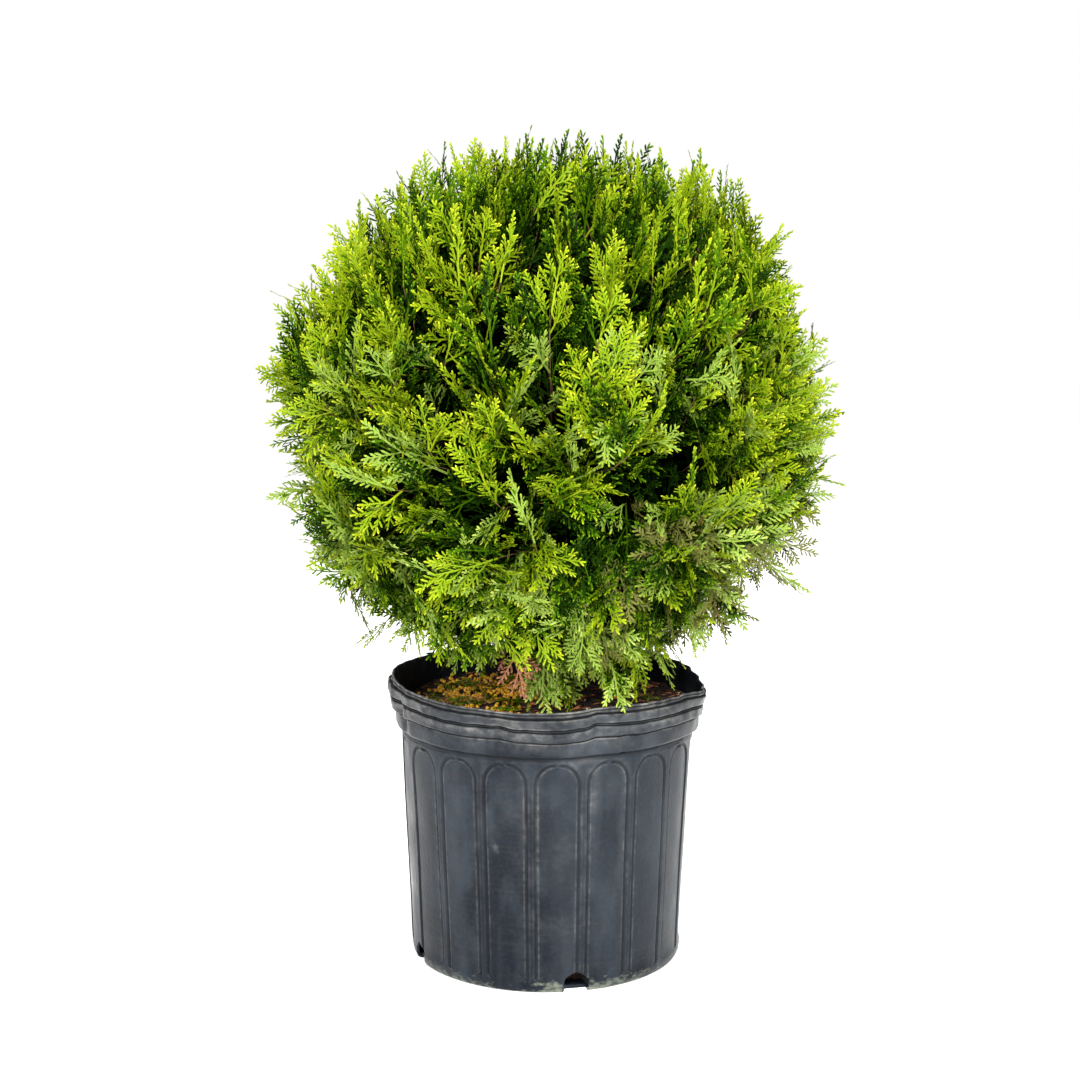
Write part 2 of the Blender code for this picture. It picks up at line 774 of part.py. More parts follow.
def build():
    """Build the potted shrub."""
    clear_scene()
    parts = new_collection("potted_globe_arborvitae")
    guides = new_collection("guides")
    can = material("nursery_can", (0.052, 0.060, 0.072), 0.55)
    mix = material("bark_mix", (0.075, 0.045, 0.030), 0.95)
    bark = material("bark", (0.19, 0.115, 0.075), 0.90)
    greens = {
        "top": material("foliage_top", (0.33, 0.46, 0.05), 0.60),
        "upper": material("foliage_upper", (0.28, 0.42, 0.05), 0.60),
        "middle": material("foliage_middle", (0.20, 0.36, 0.05), 0.60),
        "lower": material("foliage_lower", (0.15, 0.29, 0.05), 0.60),
        "foot": material("foliage_foot", (0.16, 0.25, 0.06), 0.60),
    }

    build_pot(parts, guides, can)
    build_potting_mix(parts, mix)
    build_stem(parts, bark)

    masses = mass_directions()
    ring_counts = {ring: count for ring, count, _, _ in RINGS}
    stem_heights = [SOIL_Z + (STEM_TIP_Z - SOIL_Z) * step / 6 for step in range(7)]
    limbs = [([stem_axis(height) for height in stem_heights], STEM_FOOT_R)]
    for name, ring, direction in masses:
        if ring not in BOUGH_LEVELS:
            continue
        place = int(name[-1]) - 1
        path = bough_path(direction, limb_level(ring, place, ring_counts[ring]))
        radii = [
            BOUGH_BUTT_R + (BOUGH_TIP_R - BOUGH_BUTT_R) * step / (BOUGH_POINTS - 1)
            for step in range(BOUGH_POINTS)
        ]
        tapering_limb(name.replace("foliage", "bough"), path, radii, 1, parts, bark)
        limbs.append((path, BOUGH_BUTT_R))

    tips = spray_targets(masses)
    for index, (name, ring, direction) in enumerate(masses):
        grow = foot_mass if ring == "foot" else crown_mass
        others = limbs if ring == "foot" else limbs[1:]
        grow(index, masses, tips[index], others, parts, greens[ring])


build()
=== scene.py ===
"""Looks of the potted globe arborvitae, built round its fixed frame.

The can, the bark mix and its topping, the stem, the boughs, the twigs and the flat sprays are each
made by an operator. The crown grows by the rule of the solids: every mass keeps the cone of
directions seen from the heart of the shrub that its solid keeps, its stem starts at its bough's
tip, plumes fan out from the stem's fork, and flat sprays stand on both sides of each plume.
"""

import math
from typing import Callable, NamedTuple

import bmesh
import bpy
import numpy as np
from mathutils import Matrix, Vector


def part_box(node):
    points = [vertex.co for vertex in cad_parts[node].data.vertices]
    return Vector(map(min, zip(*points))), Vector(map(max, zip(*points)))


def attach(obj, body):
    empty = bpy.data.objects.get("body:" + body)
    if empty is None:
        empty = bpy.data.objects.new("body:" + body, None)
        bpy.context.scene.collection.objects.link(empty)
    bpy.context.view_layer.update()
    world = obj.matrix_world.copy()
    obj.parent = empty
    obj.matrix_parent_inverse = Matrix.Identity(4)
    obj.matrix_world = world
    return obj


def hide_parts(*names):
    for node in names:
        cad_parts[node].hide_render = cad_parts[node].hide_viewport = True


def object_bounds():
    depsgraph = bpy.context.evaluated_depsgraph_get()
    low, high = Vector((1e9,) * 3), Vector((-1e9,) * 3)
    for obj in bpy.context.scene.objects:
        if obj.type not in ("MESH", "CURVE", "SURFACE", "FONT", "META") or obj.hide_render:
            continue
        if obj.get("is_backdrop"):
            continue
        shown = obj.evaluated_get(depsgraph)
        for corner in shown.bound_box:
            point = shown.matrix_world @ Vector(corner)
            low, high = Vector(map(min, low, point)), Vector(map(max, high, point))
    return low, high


bl_info = {
    "name": "Potted globe arborvitae",
    "version": (1, 0, 0),
    "blender": (4, 5, 0),
    "location": "3D View > Sidebar > Arborvitae",
    "description": "Builds a round evergreen shrub in a nursery can",
    "category": "Object",
}

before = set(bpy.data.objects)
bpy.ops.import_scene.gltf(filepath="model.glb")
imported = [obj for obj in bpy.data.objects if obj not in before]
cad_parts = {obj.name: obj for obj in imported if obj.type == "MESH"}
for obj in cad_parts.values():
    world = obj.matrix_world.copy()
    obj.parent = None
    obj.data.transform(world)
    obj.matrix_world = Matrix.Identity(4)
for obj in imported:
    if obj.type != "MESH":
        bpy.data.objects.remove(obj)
CAD_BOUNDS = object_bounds()
CAD_LOW = np.array(CAD_BOUNDS[0])
CAD_HIGH = np.array(CAD_BOUNDS[1])

# Can, worked out from the frame
CAN_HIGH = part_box("pot")[1]
RIM_R = CAN_HIGH.x
RIM_Z = CAN_HIGH.z
SOIL_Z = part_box("potting_mix")[1].z
BAND_DROP = 0.0164
BAND_FOOT_DROP = 0.0249
COLLAR_R = RIM_R - 0.0058
COLLAR_DROP = 0.0268
COLLAR_FOOT_DROP = 0.0403
BODY_TOP_R = RIM_R - 0.0103
BODY_TOP_Z = RIM_Z - 0.0412
BODY_FOOT_R = RIM_R - 0.0193
BODY_FOOT_Z = 0.0080
BODY_INSET = 0.0012
UNDERSIDE_R = RIM_R - 0.0240
WALL = 0.0016
FLOOR = 0.0030
MIX_TOP_R = COLLAR_R - WALL - 0.0022
# Drops below the rim of the lip's grooves, darkened there as painted shade
SHADED_GROOVES = (0.0021, 0.0052, 0.0141, 0.0158, 0.0258, 0.0408)
# Drops below the rim of the band edges, lightened there as painted highlights
HIGHLIGHT_EDGES = (0.0004, 0.0064, 0.0130, 0.0172, 0.0272)
PALE_LIMIT = 0.0360
EDGE_SPREAD = 0.0006
LINE_SPREAD = 0.0008
# How far painted shade darkens the can's inner wall
INSIDE_SHADE = 0.6
CRUST_HEIGHT = 0.0240
FILLET = 0.0012
FILLET_STEPS = 2
KNOCKS_FROM_Z = 0.1500
RISE_FROM_Z = 0.1850

# Lip, bead and bands, from the inside over the rim and down: inset from the rim, and drop
LIP_POINTS = (
    (0.0060, 0.0150),
    (0.0056, 0.0060),
    (0.0050, 0.0012),
    (0.0042, 0.0),
    (0.0030, 0.0004),
    (0.0027, 0.0016),
    (0.0035, 0.0021),
    (0.0026, 0.0027),
    (0.0028, 0.0044),
    (0.0038, 0.0053),
    (0.0007, 0.0056),
    (0.0, 0.0068),
    (0.0004, 0.0131),
    (0.0024, 0.0138),
    (0.0012, 0.0146),
    (0.0013, 0.0151),
    (0.0032, 0.0158),
    (0.0016, BAND_DROP),
    (0.0021, 0.0238),
    (0.0034, BAND_FOOT_DROP),
)

# Drops below the rim, and how far inside the rim's radius the inner wall begins there
INSIDE_LIMIT = ((0.0, 0.0180, 0.0245, 0.0403), (0.0045, 0.0048, 0.0070, 0.0080))

# Drops below the rim, and how bleached and worn the lip is there
LIP_WEAR = ((0.0, 0.006, 0.013, 0.024, 0.027, 0.036), (0.80, 0.34, 0.27, 0.22, 0.14, 0.10))

# Panels round the can
PANEL_COUNT = 18
PANEL_TURN = math.radians(4.0)
PANEL_HALF_ANGLE = math.radians(8.5)
PANEL_TOP_Z = RIM_Z - 0.0465
PANEL_FOOT_Z = 0.0130
PANEL_SPRING_Z = PANEL_TOP_Z - BODY_TOP_R * PANEL_HALF_ANGLE
PANEL_FADE = 0.0050
ARCH_ROWS = 22
BODY_ROWS = 22

# Outline of a panel, from its floor out to the rib: offset, depth, painted shade in the step, and
# painted highlight on its edges
PANEL_MARKS = (
    (-0.0036, -0.0009, 0.0, 0.02),
    (-0.0024, -0.0009, 0.0, 0.26),
    (-0.0014, -0.0012, 0.34, 0.0),
    (-0.0003, -0.0012, 0.40, 0.0),
    (0.0009, 0.0000, 0.10, 0.04),
    (0.0018, 0.0001, 0.0, 0.10),
)
PANEL_FLOOR_COLUMNS = 3
COLUMN_EVENING = 0.04
LEAST_SECTOR_R = 0.0500
LEAST_CAN_FACES = 1000
SHARP_ANGLE = math.radians(32.0)

# Drain holes
DRAIN_BEARINGS = (12.0, 102.0, 192.0, 292.0)
DRAIN_HALF_WIDTH = 0.0105
DRAIN_HEIGHT = 0.0180
DRAIN_START_R = UNDERSIDE_R - 0.009
DRAIN_RUN = 0.030
DRAIN_ARCH_STEPS = 12

# How the soft rim has been knocked: bearing from the front in degrees, and rise of the rim
RIM_RISE = (
    (-180.0, 0.0044),
    (-125.0, 0.0040),
    (-85.0, 0.0055),
    (-58.0, 0.0030),
    (-28.0, -0.0014),
    (-16.0, -0.0028),
    (4.0, -0.0014),
    (20.0, 0.0006),
    (58.0, -0.0006),
    (84.0, -0.0076),
    (112.0, 0.0024),
    (140.0, 0.0044),
)

# Sag of the bands below the rim: bearing in degrees, and rise
BAND_SAG = (
    (-180.0, 0.0),
    (-120.0, 0.0008),
    (-70.0, 0.0012),
    (-30.0, 0.0004),
    (-17.0, 0.0020),
    (-9.0, -0.0004),
    (3.0, -0.0020),
    (12.0, -0.0012),
    (18.0, 0.0014),
    (32.0, 0.0002),
    (60.0, 0.0006),
    (120.0, -0.0010),
)
SAG_HEIGHT = 0.2260
SAG_SPREAD = 0.0160

# Dents: bearing in degrees, height, half width in degrees, half height, depth
DENTS = (
    (-17.0, 0.2265, 1.8, 0.0080, 0.0026),
    (-4.0, 0.2270, 10.0, 0.0090, -0.0008),
    (17.2, 0.2300, 1.9, 0.0100, 0.0040),
    (24.0, 0.2120, 4.0, 0.0070, -0.0014),
    (29.0, 0.2140, 2.4, 0.0090, 0.0026),
    (36.0, 0.2130, 3.6, 0.0070, -0.0010),
    (46.0, 0.2200, 5.0, 0.0080, 0.0014),
    (-65.0, 0.2240, 2.4, 0.0170, 0.0044),
    (-60.0, 0.2180, 2.6, 0.0120, -0.0012),
    (-73.0, 0.2240, 4.0, 0.0140, -0.0010),
    (84.0, 0.2300, 7.0, 0.0100, 0.0026),
    (118.0, 0.2220, 3.0, 0.0110, 0.0026),
    (150.0, 0.2250, 9.0, 0.0080, 0.0024),
    (-140.0, 0.2200, 4.0, 0.0090, 0.0026),
)

# Worn scuffs, and painted sheens in the long or wide marks: bearing in degrees, height, half width in
# metres, half height, strength
SCUFFS_AND_SHEENS = (
    (-27.5, 0.1290, 0.0016, 0.0040, 0.7),
    (-20.0, 0.1270, 0.0012, 0.0030, 0.6),
    (-8.0, 0.1370, 0.0013, 0.0050, 0.6),
    (13.0, 0.1500, 0.0010, 0.0120, 0.3),
    (33.0, 0.1000, 0.0012, 0.0060, 0.5),
    (-50.0, 0.0820, 0.0010, 0.0050, 0.4),
    (71.0, 0.1200, 0.0012, 0.0070, 0.5),
    (140.0, 0.1300, 0.0020, 0.0050, 0.5),
    (-130.0, 0.0900, 0.0016, 0.0040, 0.6),
    (190.0, 0.1500, 0.0016, 0.0060, 0.5),
    (-3.9, 0.1300, 0.0012, 0.0480, 0.34),
    (30.1, 0.1450, 0.0014, 0.0500, 0.30),
    (17.5, 0.1780, 0.0045, 0.0260, 0.22),
    (16.0, 0.1300, 0.0040, 0.0220, 0.16),
    (6.0, 0.1180, 0.0080, 0.0200, 0.10),
    (-10.5, 0.1500, 0.0080, 0.0400, 0.08),
    (11.0, 0.2010, 0.0220, 0.0045, 0.20),
    (-16.0, 0.2000, 0.0140, 0.0040, 0.12),
    (2.0, 0.0600, 0.0300, 0.0100, 0.07),
    (-78.0, 0.1100, 0.0060, 0.0800, 0.34),
    (-64.0, 0.1500, 0.0060, 0.0500, 0.10),
    (80.0, 0.1100, 0.0030, 0.0600, 0.14),
)
SPOTS = (
    (-32.0, 0.0920, 0.0026, 0.0018, 1.0),
    (57.0, 0.0460, 0.0018, 0.0014, 0.9),
    (200.0, 0.0700, 0.0022, 0.0018, 0.8),
)

# Stem and crown: the rule of the solids
UP = np.array((0.0, 0.0, 1.0))
GAP = 0.0003
STEM_FOOT_R = 0.0115
STEM_TIP_R = 0.0050
STEM_LEAN = 0.0060
STEM_LEAN_FRONT = 0.6
FLARE_R = 0.0085
FLARE_HEIGHT = 0.0180
HEART = Vector((0.0, 0.0, 0.3700))
GLOBE_CENTRE = Vector((0.0075, 0.0, 0.4730))
GLOBE_R = 0.2330
GLOBE_TOP = 0.2220
GLOBE_UPPER_POWER = 2.5
GLOBE_LOWER_POWER = 2.0

# Where the outline in the photo swells past the globe or sinks inside it: angle in degrees
# from the right of the photo upwards, and share
OUTLINE_SWELL = (
    (-180.0, 0.945),
    (-173.0, 0.960),
    (-160.0, 1.020),
    (-145.0, 0.985),
    (-120.0, 1.000),
    (-62.0, 0.970),
    (-46.0, 0.920),
    (-34.0, 0.900),
    (-20.0, 0.965),
    (-9.0, 1.005),
    (5.0, 0.955),
    (15.0, 0.925),
    (30.0, 0.950),
    (50.0, 0.990),
    (75.0, 1.020),
    (90.0, 1.055),
    (105.0, 1.030),
    (125.0, 0.985),
    (145.0, 0.980),
    (160.0, 1.010),
    (171.0, 0.945),
    (180.0, 0.945),
)

# Tips of the lone shoots that stand out of the outline
STRAY_TIPS = (
    (-0.2310, 0.0000, 0.5800, "slim"),
    (-0.2420, 0.0100, 0.4890, "slim"),
    (-0.2400, -0.0150, 0.4050, "slim"),
    (-0.2050, 0.0000, 0.3500, "slim"),
    (-0.2300, 0.0300, 0.5200, "slim"),
    (0.2530, 0.0000, 0.4750, "slim"),
    (0.2500, -0.0100, 0.4190, "slim"),
    (0.2470, 0.0250, 0.3950, "long"),
    (0.2320, 0.0100, 0.3520, "long"),
    (0.2260, 0.0000, 0.3220, "slim"),
    (0.2150, -0.0350, 0.3330, "long"),
    (0.1830, 0.0100, 0.2940, "slim"),
    (0.1700, -0.0300, 0.3020, "long"),
    (0.1560, -0.0450, 0.2880, "slim"),
    (0.1400, 0.0200, 0.2760, "slim"),
    (0.2000, 0.0700, 0.3500, "slim"),
    (0.0230, 0.0000, 0.7110, "slim"),
    (-0.0160, 0.0100, 0.7090, "slim"),
    (0.0720, 0.0200, 0.7020, "slim"),
    (-0.0750, 0.0200, 0.6940, "slim"),
    (0.1200, 0.0000, 0.6830, "slim"),
    (-0.1250, 0.0100, 0.6770, "slim"),
)

# Slim shoots all round the top: their number, elevations and shares of the globe's radius
CREST_SHOOTS = 26
CREST_ELEVATIONS = (24.0, 72.0)
CREST_SHARES = (1.025, 1.075)

# Rings of masses: name, count, elevation seen from the globe's centre, and turn
RINGS = (
    ("top", 1, 90.0, 0.0),
    ("upper", 5, 47.0, 0.20),
    ("middle", 7, 10.0, 0.25),
    ("lower", 7, -27.0, 0.05),
    ("foot", 4, -60.0, 0.40),
)

# Boughs and the stems of the masses, and how finely the stem and the boughs are drawn
BOUGH_REACH = 0.0780
STEM_TIP_Z = HEART.z + BOUGH_REACH - GAP
BOUGH_BUTT_R = 0.0040
BOUGH_TIP_R = 0.0024
BOUGH_END_RUN = 0.0040
BOUGH_PULL = 0.8
BOUGH_LEVELS = {"upper": 0.358, "middle": 0.314, "lower": 0.270}
BOUGH_LEVEL_STEP = 0.0055
FOOT_LEVEL = 0.2440
FOOT_LEVEL_STEP = 0.0060
FORK_SHARE = 0.46
HEART_SHARES = (0.34, 0.66)
STEM_ROWS = 90
STEM_SIDES = 40
BOUGH_POINTS = 30
BOUGH_SIDES = 14
WELD = 0.000001
LIMB_SINK = 0.0010
REACH_LIMIT = 0.6
REACH_HALVINGS = 26

# Kinds of frond


class FrondKind(NamedTuple):
    """Sizes of one kind of frond."""

    length: float
    branchlets: int
    longest: float
    finger: float
    gap: float
    half_width: float
    lean: float
    has_tips: bool


FROND_KINDS = {
    "long": FrondKind(0.068, 7, 0.0360, 0.0094, 0.0046, 0.00082, 41.0, True),
    "short": FrondKind(0.047, 5, 0.0270, 0.0082, 0.0046, 0.00080, 41.0, True),
    "slim": FrondKind(0.062, 7, 0.0180, 0.0060, 0.0044, 0.00076, 28.0, True),
    "plain": FrondKind(0.052, 5, 0.0300, 0.0092, 0.0070, 0.00120, 41.0, False),
    "broad": FrondKind(0.072, 7, 0.0340, 0.0110, 0.0105, 0.00270, 46.0, False),
}
FROND_VARIATIONS = 10
FROND_SPACING = 0.0160
INNER_SPACING = 0.0210
FINE_DEPTH = 0.86
LEAST_BEND = 0.01
BOX_MARGIN = 0.0004
STEM_TONE, INNER_TONE, BODY_TONE, YOUNG_TONE, TIP_TONE = range(5)

# Tones of a finger's lower and upper part, by how far out it stands
FINGER_TONES = (
    (0.34, (INNER_TONE, BODY_TONE)),
    (0.66, (BODY_TONE, YOUNG_TONE)),
    (1.00, (YOUNG_TONE, TIP_TONE)),
)

# Palette of the foliage, in the order of the material slots
PALETTE = (
    ("gold_tip", (0.455, 0.465, 0.020)),
    ("lime", (0.296, 0.338, 0.013)),
    ("bright_green", (0.196, 0.256, 0.006)),
    ("fresh_green", (0.132, 0.203, 0.003)),
    ("leaf_green", (0.033, 0.081, 0.001)),
    # deep_green is a real dark green that also paints the shade of half shaded fronds; shade_green only
    # paints the shade deep in the crown
    ("deep_green", (0.006, 0.019, 0.001)),
    ("shade_green", (0.001, 0.003, 0.000)),
    ("silver_green", (0.272, 0.350, 0.078)),
    ("sage", (0.158, 0.236, 0.033)),
    ("olive", (0.110, 0.115, 0.026)),
    ("rust", (0.460, 0.200, 0.105)),
    ("dry_brown", (0.250, 0.115, 0.060)),
)
GOLD, LIME, BRIGHT, FRESH, LEAF, DEEP, SHADE, SILVER, SAGE, OLIVE, RUST, DRY = range(len(PALETTE))
FOLIAGE_GLOSS = {"shade_green": 0.01, "deep_green": 0.01, "leaf_green": 0.02, "silver_green": 0.08}

# Colours of a frond's tones: stem, inner, body, young and tip
GOLD_FROND = (BRIGHT, LEAF, FRESH, BRIGHT, GOLD)
LIME_FROND = (FRESH, LEAF, FRESH, BRIGHT, LIME)
GREEN_FROND = (FRESH, DEEP, LEAF, FRESH, LIME)
SILVER_FROND = (SAGE, LEAF, SAGE, SAGE, LIME)
PALE_FROND = (SAGE, LEAF, SAGE, SILVER, LIME)
# These three are painted shade: fronds darkened for the shade among and under the others
SHADED_FROND = (LEAF, SHADE, DEEP, LEAF, FRESH)
HALF_SHADE = (DEEP, SHADE, DEEP, DEEP, LEAF)
DEEP_SHADE = (SHADE, SHADE, SHADE, SHADE, SHADE)
OLIVE_FROND = (OLIVE, DEEP, OLIVE, OLIVE, FRESH)
GREY_FROND = (DRY, DEEP, OLIVE, OLIVE, SILVER)
DEAD_FROND = (DRY, DRY, RUST, DRY, RUST)

# Colours of the outer fronds by height, each with the share of fronds up to and with it; the last share
# are fronds darkened as painted shade
TOP_COLOURS = ((0.28, GOLD_FROND), (0.58, LIME_FROND), (0.84, GREEN_FROND), (1.0, SHADED_FROND))
MIDDLE_COLOURS = (
    (0.15, GOLD_FROND),
    (0.40, LIME_FROND),
    (0.63, GREEN_FROND),
    (0.90, SILVER_FROND),
    (1.0, SHADED_FROND),
)
LOW_COLOURS = (
    (0.16, GREEN_FROND),
    (0.50, SILVER_FROND),
    (0.70, PALE_FROND),
    (0.90, LIME_FROND),
    (1.0, SHADED_FROND),
)
TOP_RISE = 0.35
LOW_RISE = -0.35

# Colours among the low fronds of the right side, where some are dry
DRY_COLOURS = ((0.30, OLIVE_FROND), (0.42, GREY_FROND))
DRY_SIDE_X = 0.05
DRY_RISE = -0.30

# Painted shade on fronds: depth that a zone reaches, share of its fronds darkened as painted shade, and
# their colours
SHADE_ZONES = (
    (0.770, 1.00, ((1.0, DEEP_SHADE),)),
    (0.850, 1.00, ((0.50, DEEP_SHADE), (1.0, HALF_SHADE))),
    (0.915, 1.00, ((0.65, HALF_SHADE), (1.0, SHADED_FROND))),
    (0.960, 0.75, ((0.35, HALF_SHADE), (1.0, SHADED_FROND))),
    (1.000, 0.30, ((1.0, SHADED_FROND),)),
)

# Fronds of the upper crown get less painted shade, as if they stood this much nearer to its surface
LIT_TOP_SHIFT = 0.025

# Plumes: how they lie by the rise of the crown, and how often they stand edge on
LIFT_BY_RISE = ((-0.9, -0.5, -0.1, 0.5), (-0.20, 0.10, 0.55, 0.85))
FOOT_LIFT = -0.55
UPRIGHT_PULL = 0.45
EDGE_SHARE_BY_RISE = ((-0.4, 0.0, 0.4), (0.12, 0.28, 0.60))
TIP_SIZES = (0.86, 1.12)
TIP_ROLL = 0.38
SIDE_SIZES = (0.82, 1.10)
SIDE_LEANS = (28.0, 48.0)
SIDE_ROLL = 0.50
SIDE_TILT = 0.35
BEND_SPREAD = 0.30
BARE_ROOT = 0.0120
LOOK_AHEAD = 0.0040
PLUME_STEPS = 6
PLUME_JITTER = 0.030
STRAY_SPREAD = 0.12
PLUME_ROOT_SHARES = (0.72, 1.0)
TWIG_BUTT_R = 0.0011
TWIG_TIP_R = 0.0004
MASS_STEM_TIP_R = 0.0014
SHOOT_SHARE = 0.15
SHOOT_SHARES = (1.03, 1.075)
UPPER_SLIM_SHARE = 0.56
LOWER_SLIM_SHARE = 0.12
LONG_SHARE = 0.62
SPARSE_SKIP = 0.52
LOWEST_TIP_Z = SOIL_Z + 0.0450
FOOT_CLEAR_R = 0.1000

# Tips of the fronds that hang round the stem's foot
HANGING_TIPS = (
    (-0.015, -0.078, 0.2375, "long"),
    (-0.008, -0.066, 0.246, "long"),
    (-0.003, -0.088, 0.2365, "long"),
    (0.005, -0.074, 0.240, "long"),
    (0.015, -0.082, 0.235, "long"),
    (0.024, -0.078, 0.266, "long"),
    (0.020, -0.062, 0.240, "short"),
    (0.030, -0.080, 0.262, "long"),
    (0.046, -0.090, 0.262, "long"),
    (0.054, -0.106, 0.2680, "long"),
    (0.037, -0.070, 0.262, "short"),
    (0.064, -0.076, 0.250, "long"),
    (0.088, -0.098, 0.249, "long"),
    (0.101, -0.074, 0.256, "long"),
    (0.112, -0.030, 0.260, "slim"),
    (-0.052, -0.070, 0.268, "short"),
    (-0.078, -0.054, 0.262, "short"),
    (-0.090, 0.010, 0.256, "long"),
    (-0.066, 0.066, 0.244, "long"),
    (-0.020, 0.086, 0.240, "long"),
    (0.020, 0.094, 0.246, "short"),
    (0.052, 0.074, 0.242, "long"),
    (0.088, 0.034, 0.252, "long"),
    (-0.040, 0.070, 0.252, "short"),
    (0.074, 0.060, 0.262, "short"),
)

# Single fronds laid from one point to another: root, tip, outward face and colours
LONE_FRONDS = (
    ((-0.032, -0.060, 0.292), (-0.019, -0.078, 0.244), (0.0, -1.0, 0.3), DEAD_FROND),
    ((0.053, -0.101, 0.277), (0.0605, -0.1305, 0.2415), (0.1, -0.75, 0.66), PALE_FROND),
)
HANGING_LEVEL = 0.292
HANGING_LEVEL_RANGE = (-0.012, 0.020)
HANGING_COLOURS = (
    (0.24, LIME_FROND),
    (0.60, SILVER_FROND),
    (0.85, PALE_FROND),
    (1.0, GREEN_FROND),
)
FOOT_STEM_SHARE = 0.62

# Fronds that have dropped on the mix
FALLEN_COUNT = 56
FALLEN_LIMIT_R = 0.124
FALLEN_DRIFT_X = (-0.112, -0.030)
FALLEN_DRIFT_Y = (-0.066, 0.050)
FALLEN_RING = (0.045, 0.105)
FALLEN_SIZES = (0.30, 0.70)
FALLEN_COLOURS = (
    (0.20, OLIVE_FROND),
    (0.55, GREEN_FROND),
    (0.80, LIME_FROND),
    (1.0, DEAD_FROND),
)

# Colours mixed into the matter of the can and the bark
OLD_DIRT = (0.034, 0.028, 0.024)
# Near black that paints the shade in the can's grooves, panel steps and inner wall, and its dirt spots
DIRT_AND_SHADE_COLOUR = (0.0022, 0.0026, 0.0032)
GREY_BARK = (0.190, 0.160, 0.130)

# Grids of the mix and of the beds that its topping is strewn on
MIX_COLUMNS = 180
MIX_RINGS = 52
BED_COLUMNS = 72
BED_RINGS = 26
BED_INNER_R = 0.0140
BED_MARGIN = 0.0045

# Share of the studio's light that comes from all round, and the lamps: place, size, power, colour
STUDIO_LIGHT = 0.44
LAMPS = {
    "key": ((0.34, -2.15, 1.76), 0.8, 116.0, (1.0, 0.99, 0.95)),
    "fill": ((-0.90, -2.30, 0.90), 0.9, 48.0, (1.0, 0.99, 0.97)),
    "top": ((0.1, 0.4, 2.40), 1.2, 46.0, (1.0, 1.0, 1.0)),
}
LAMP_AIM = Vector((0.0, 0.0, 0.40))
FLOOR_R = 14.0
WHITE = (1.0, 1.0, 1.0)

# View of the photo
CAMERA_PLACE = (-0.0056, -1.542, 0.561)
CAMERA_PITCH = math.radians(7.2)
CAMERA_LENS = 59.4
CAMERA_SENSOR = 36.0


# Settings


class CanSettings(bpy.types.PropertyGroup):
    """Colours of the nursery can."""

    colour: bpy.props.FloatVectorProperty(
        name="Plastic",
        description="Colour of the can's plastic",
        subtype="COLOR",
        default=(0.0010, 0.0030, 0.0070),
    )
    dust: bpy.props.FloatVectorProperty(
        name="Dust",
        description="Colour of the dust on the can",
        subtype="COLOR",
        default=(0.030, 0.038, 0.048),
    )
    # The pale colour of the bleached lip, also painted as highlights on edges and as sheens
    wear_and_highlight_colour: bpy.props.FloatVectorProperty(
        name="Weathered plastic",
        description="Colour of the bleached lip and rubbed edges",
        subtype="COLOR",
        default=(0.200, 0.196, 0.188),
    )
    scale_deposit: bpy.props.FloatVectorProperty(
        name="Water scale",
        description="Colour of the pale crust round the foot",
        subtype="COLOR",
        default=(0.150, 0.165, 0.130),
    )


class MixSettings(bpy.types.PropertyGroup):
    """What lies on the potting mix."""

    prill_density: bpy.props.FloatProperty(
        name="Prills", description="Fertiliser prills for each square metre", default=42000.0
    )
    chip_density: bpy.props.FloatProperty(
        name="Bark chips", description="Bark chips for each square metre", default=30000.0
    )
    grit_density: bpy.props.FloatProperty(
        name="Perlite", description="Perlite grains for each square metre", default=900.0
    )
    seed: bpy.props.IntProperty(name="Seed", description="Seed of the topping", default=5)


class LimbSettings(bpy.types.PropertyGroup):
    """Stem and boughs."""

    relief: bpy.props.FloatProperty(
        name="Bark relief",
        description="Depth of the bark's ridges",
        default=0.0009,
        unit="LENGTH",
    )
    colour: bpy.props.FloatVectorProperty(
        name="Bark",
        description="Colour of the bark",
        subtype="COLOR",
        default=(0.150, 0.080, 0.045),
    )


class FoliageSettings(bpy.types.PropertyGroup):
    """Plumes and sprays of the crown."""

    plumes: bpy.props.IntProperty(
        name="Plumes", description="Plumes over the whole globe", default=960
    )
    # Fronds in the heart of the crown, coloured near black as painted shade
    inner_fronds: bpy.props.IntProperty(
        name="Inner fronds", description="Dark fronds in the heart of the crown", default=900
    )
    seed: bpy.props.IntProperty(name="Seed", description="Seed of the crown", default=29)


# Meshes


def link(obj):
    """Put an object in the scene."""
    bpy.context.scene.collection.objects.link(obj)
    return obj


def mesh_from_arrays(name, verts, corners, counts, slots=None):
    """A mesh from vertex places, face corners and the number of corners of each face."""
    mesh = bpy.data.meshes.new(name)
    mesh.vertices.add(len(verts))
    mesh.vertices.foreach_set("co", np.asarray(verts, np.float32).ravel())
    mesh.loops.add(len(corners))
    mesh.loops.foreach_set("vertex_index", np.asarray(corners, np.int32))
    starts = np.concatenate(([0], np.cumsum(counts)[:-1]))
    mesh.polygons.add(len(counts))
    mesh.polygons.foreach_set("loop_start", starts.astype(np.int32))
    mesh.polygons.foreach_set("loop_total", np.asarray(counts, np.int32))
    if slots is not None:
        mesh.polygons.foreach_set("material_index", np.asarray(slots, np.int32))
    mesh.update(calc_edges=True)
    mesh.validate()
    return mesh


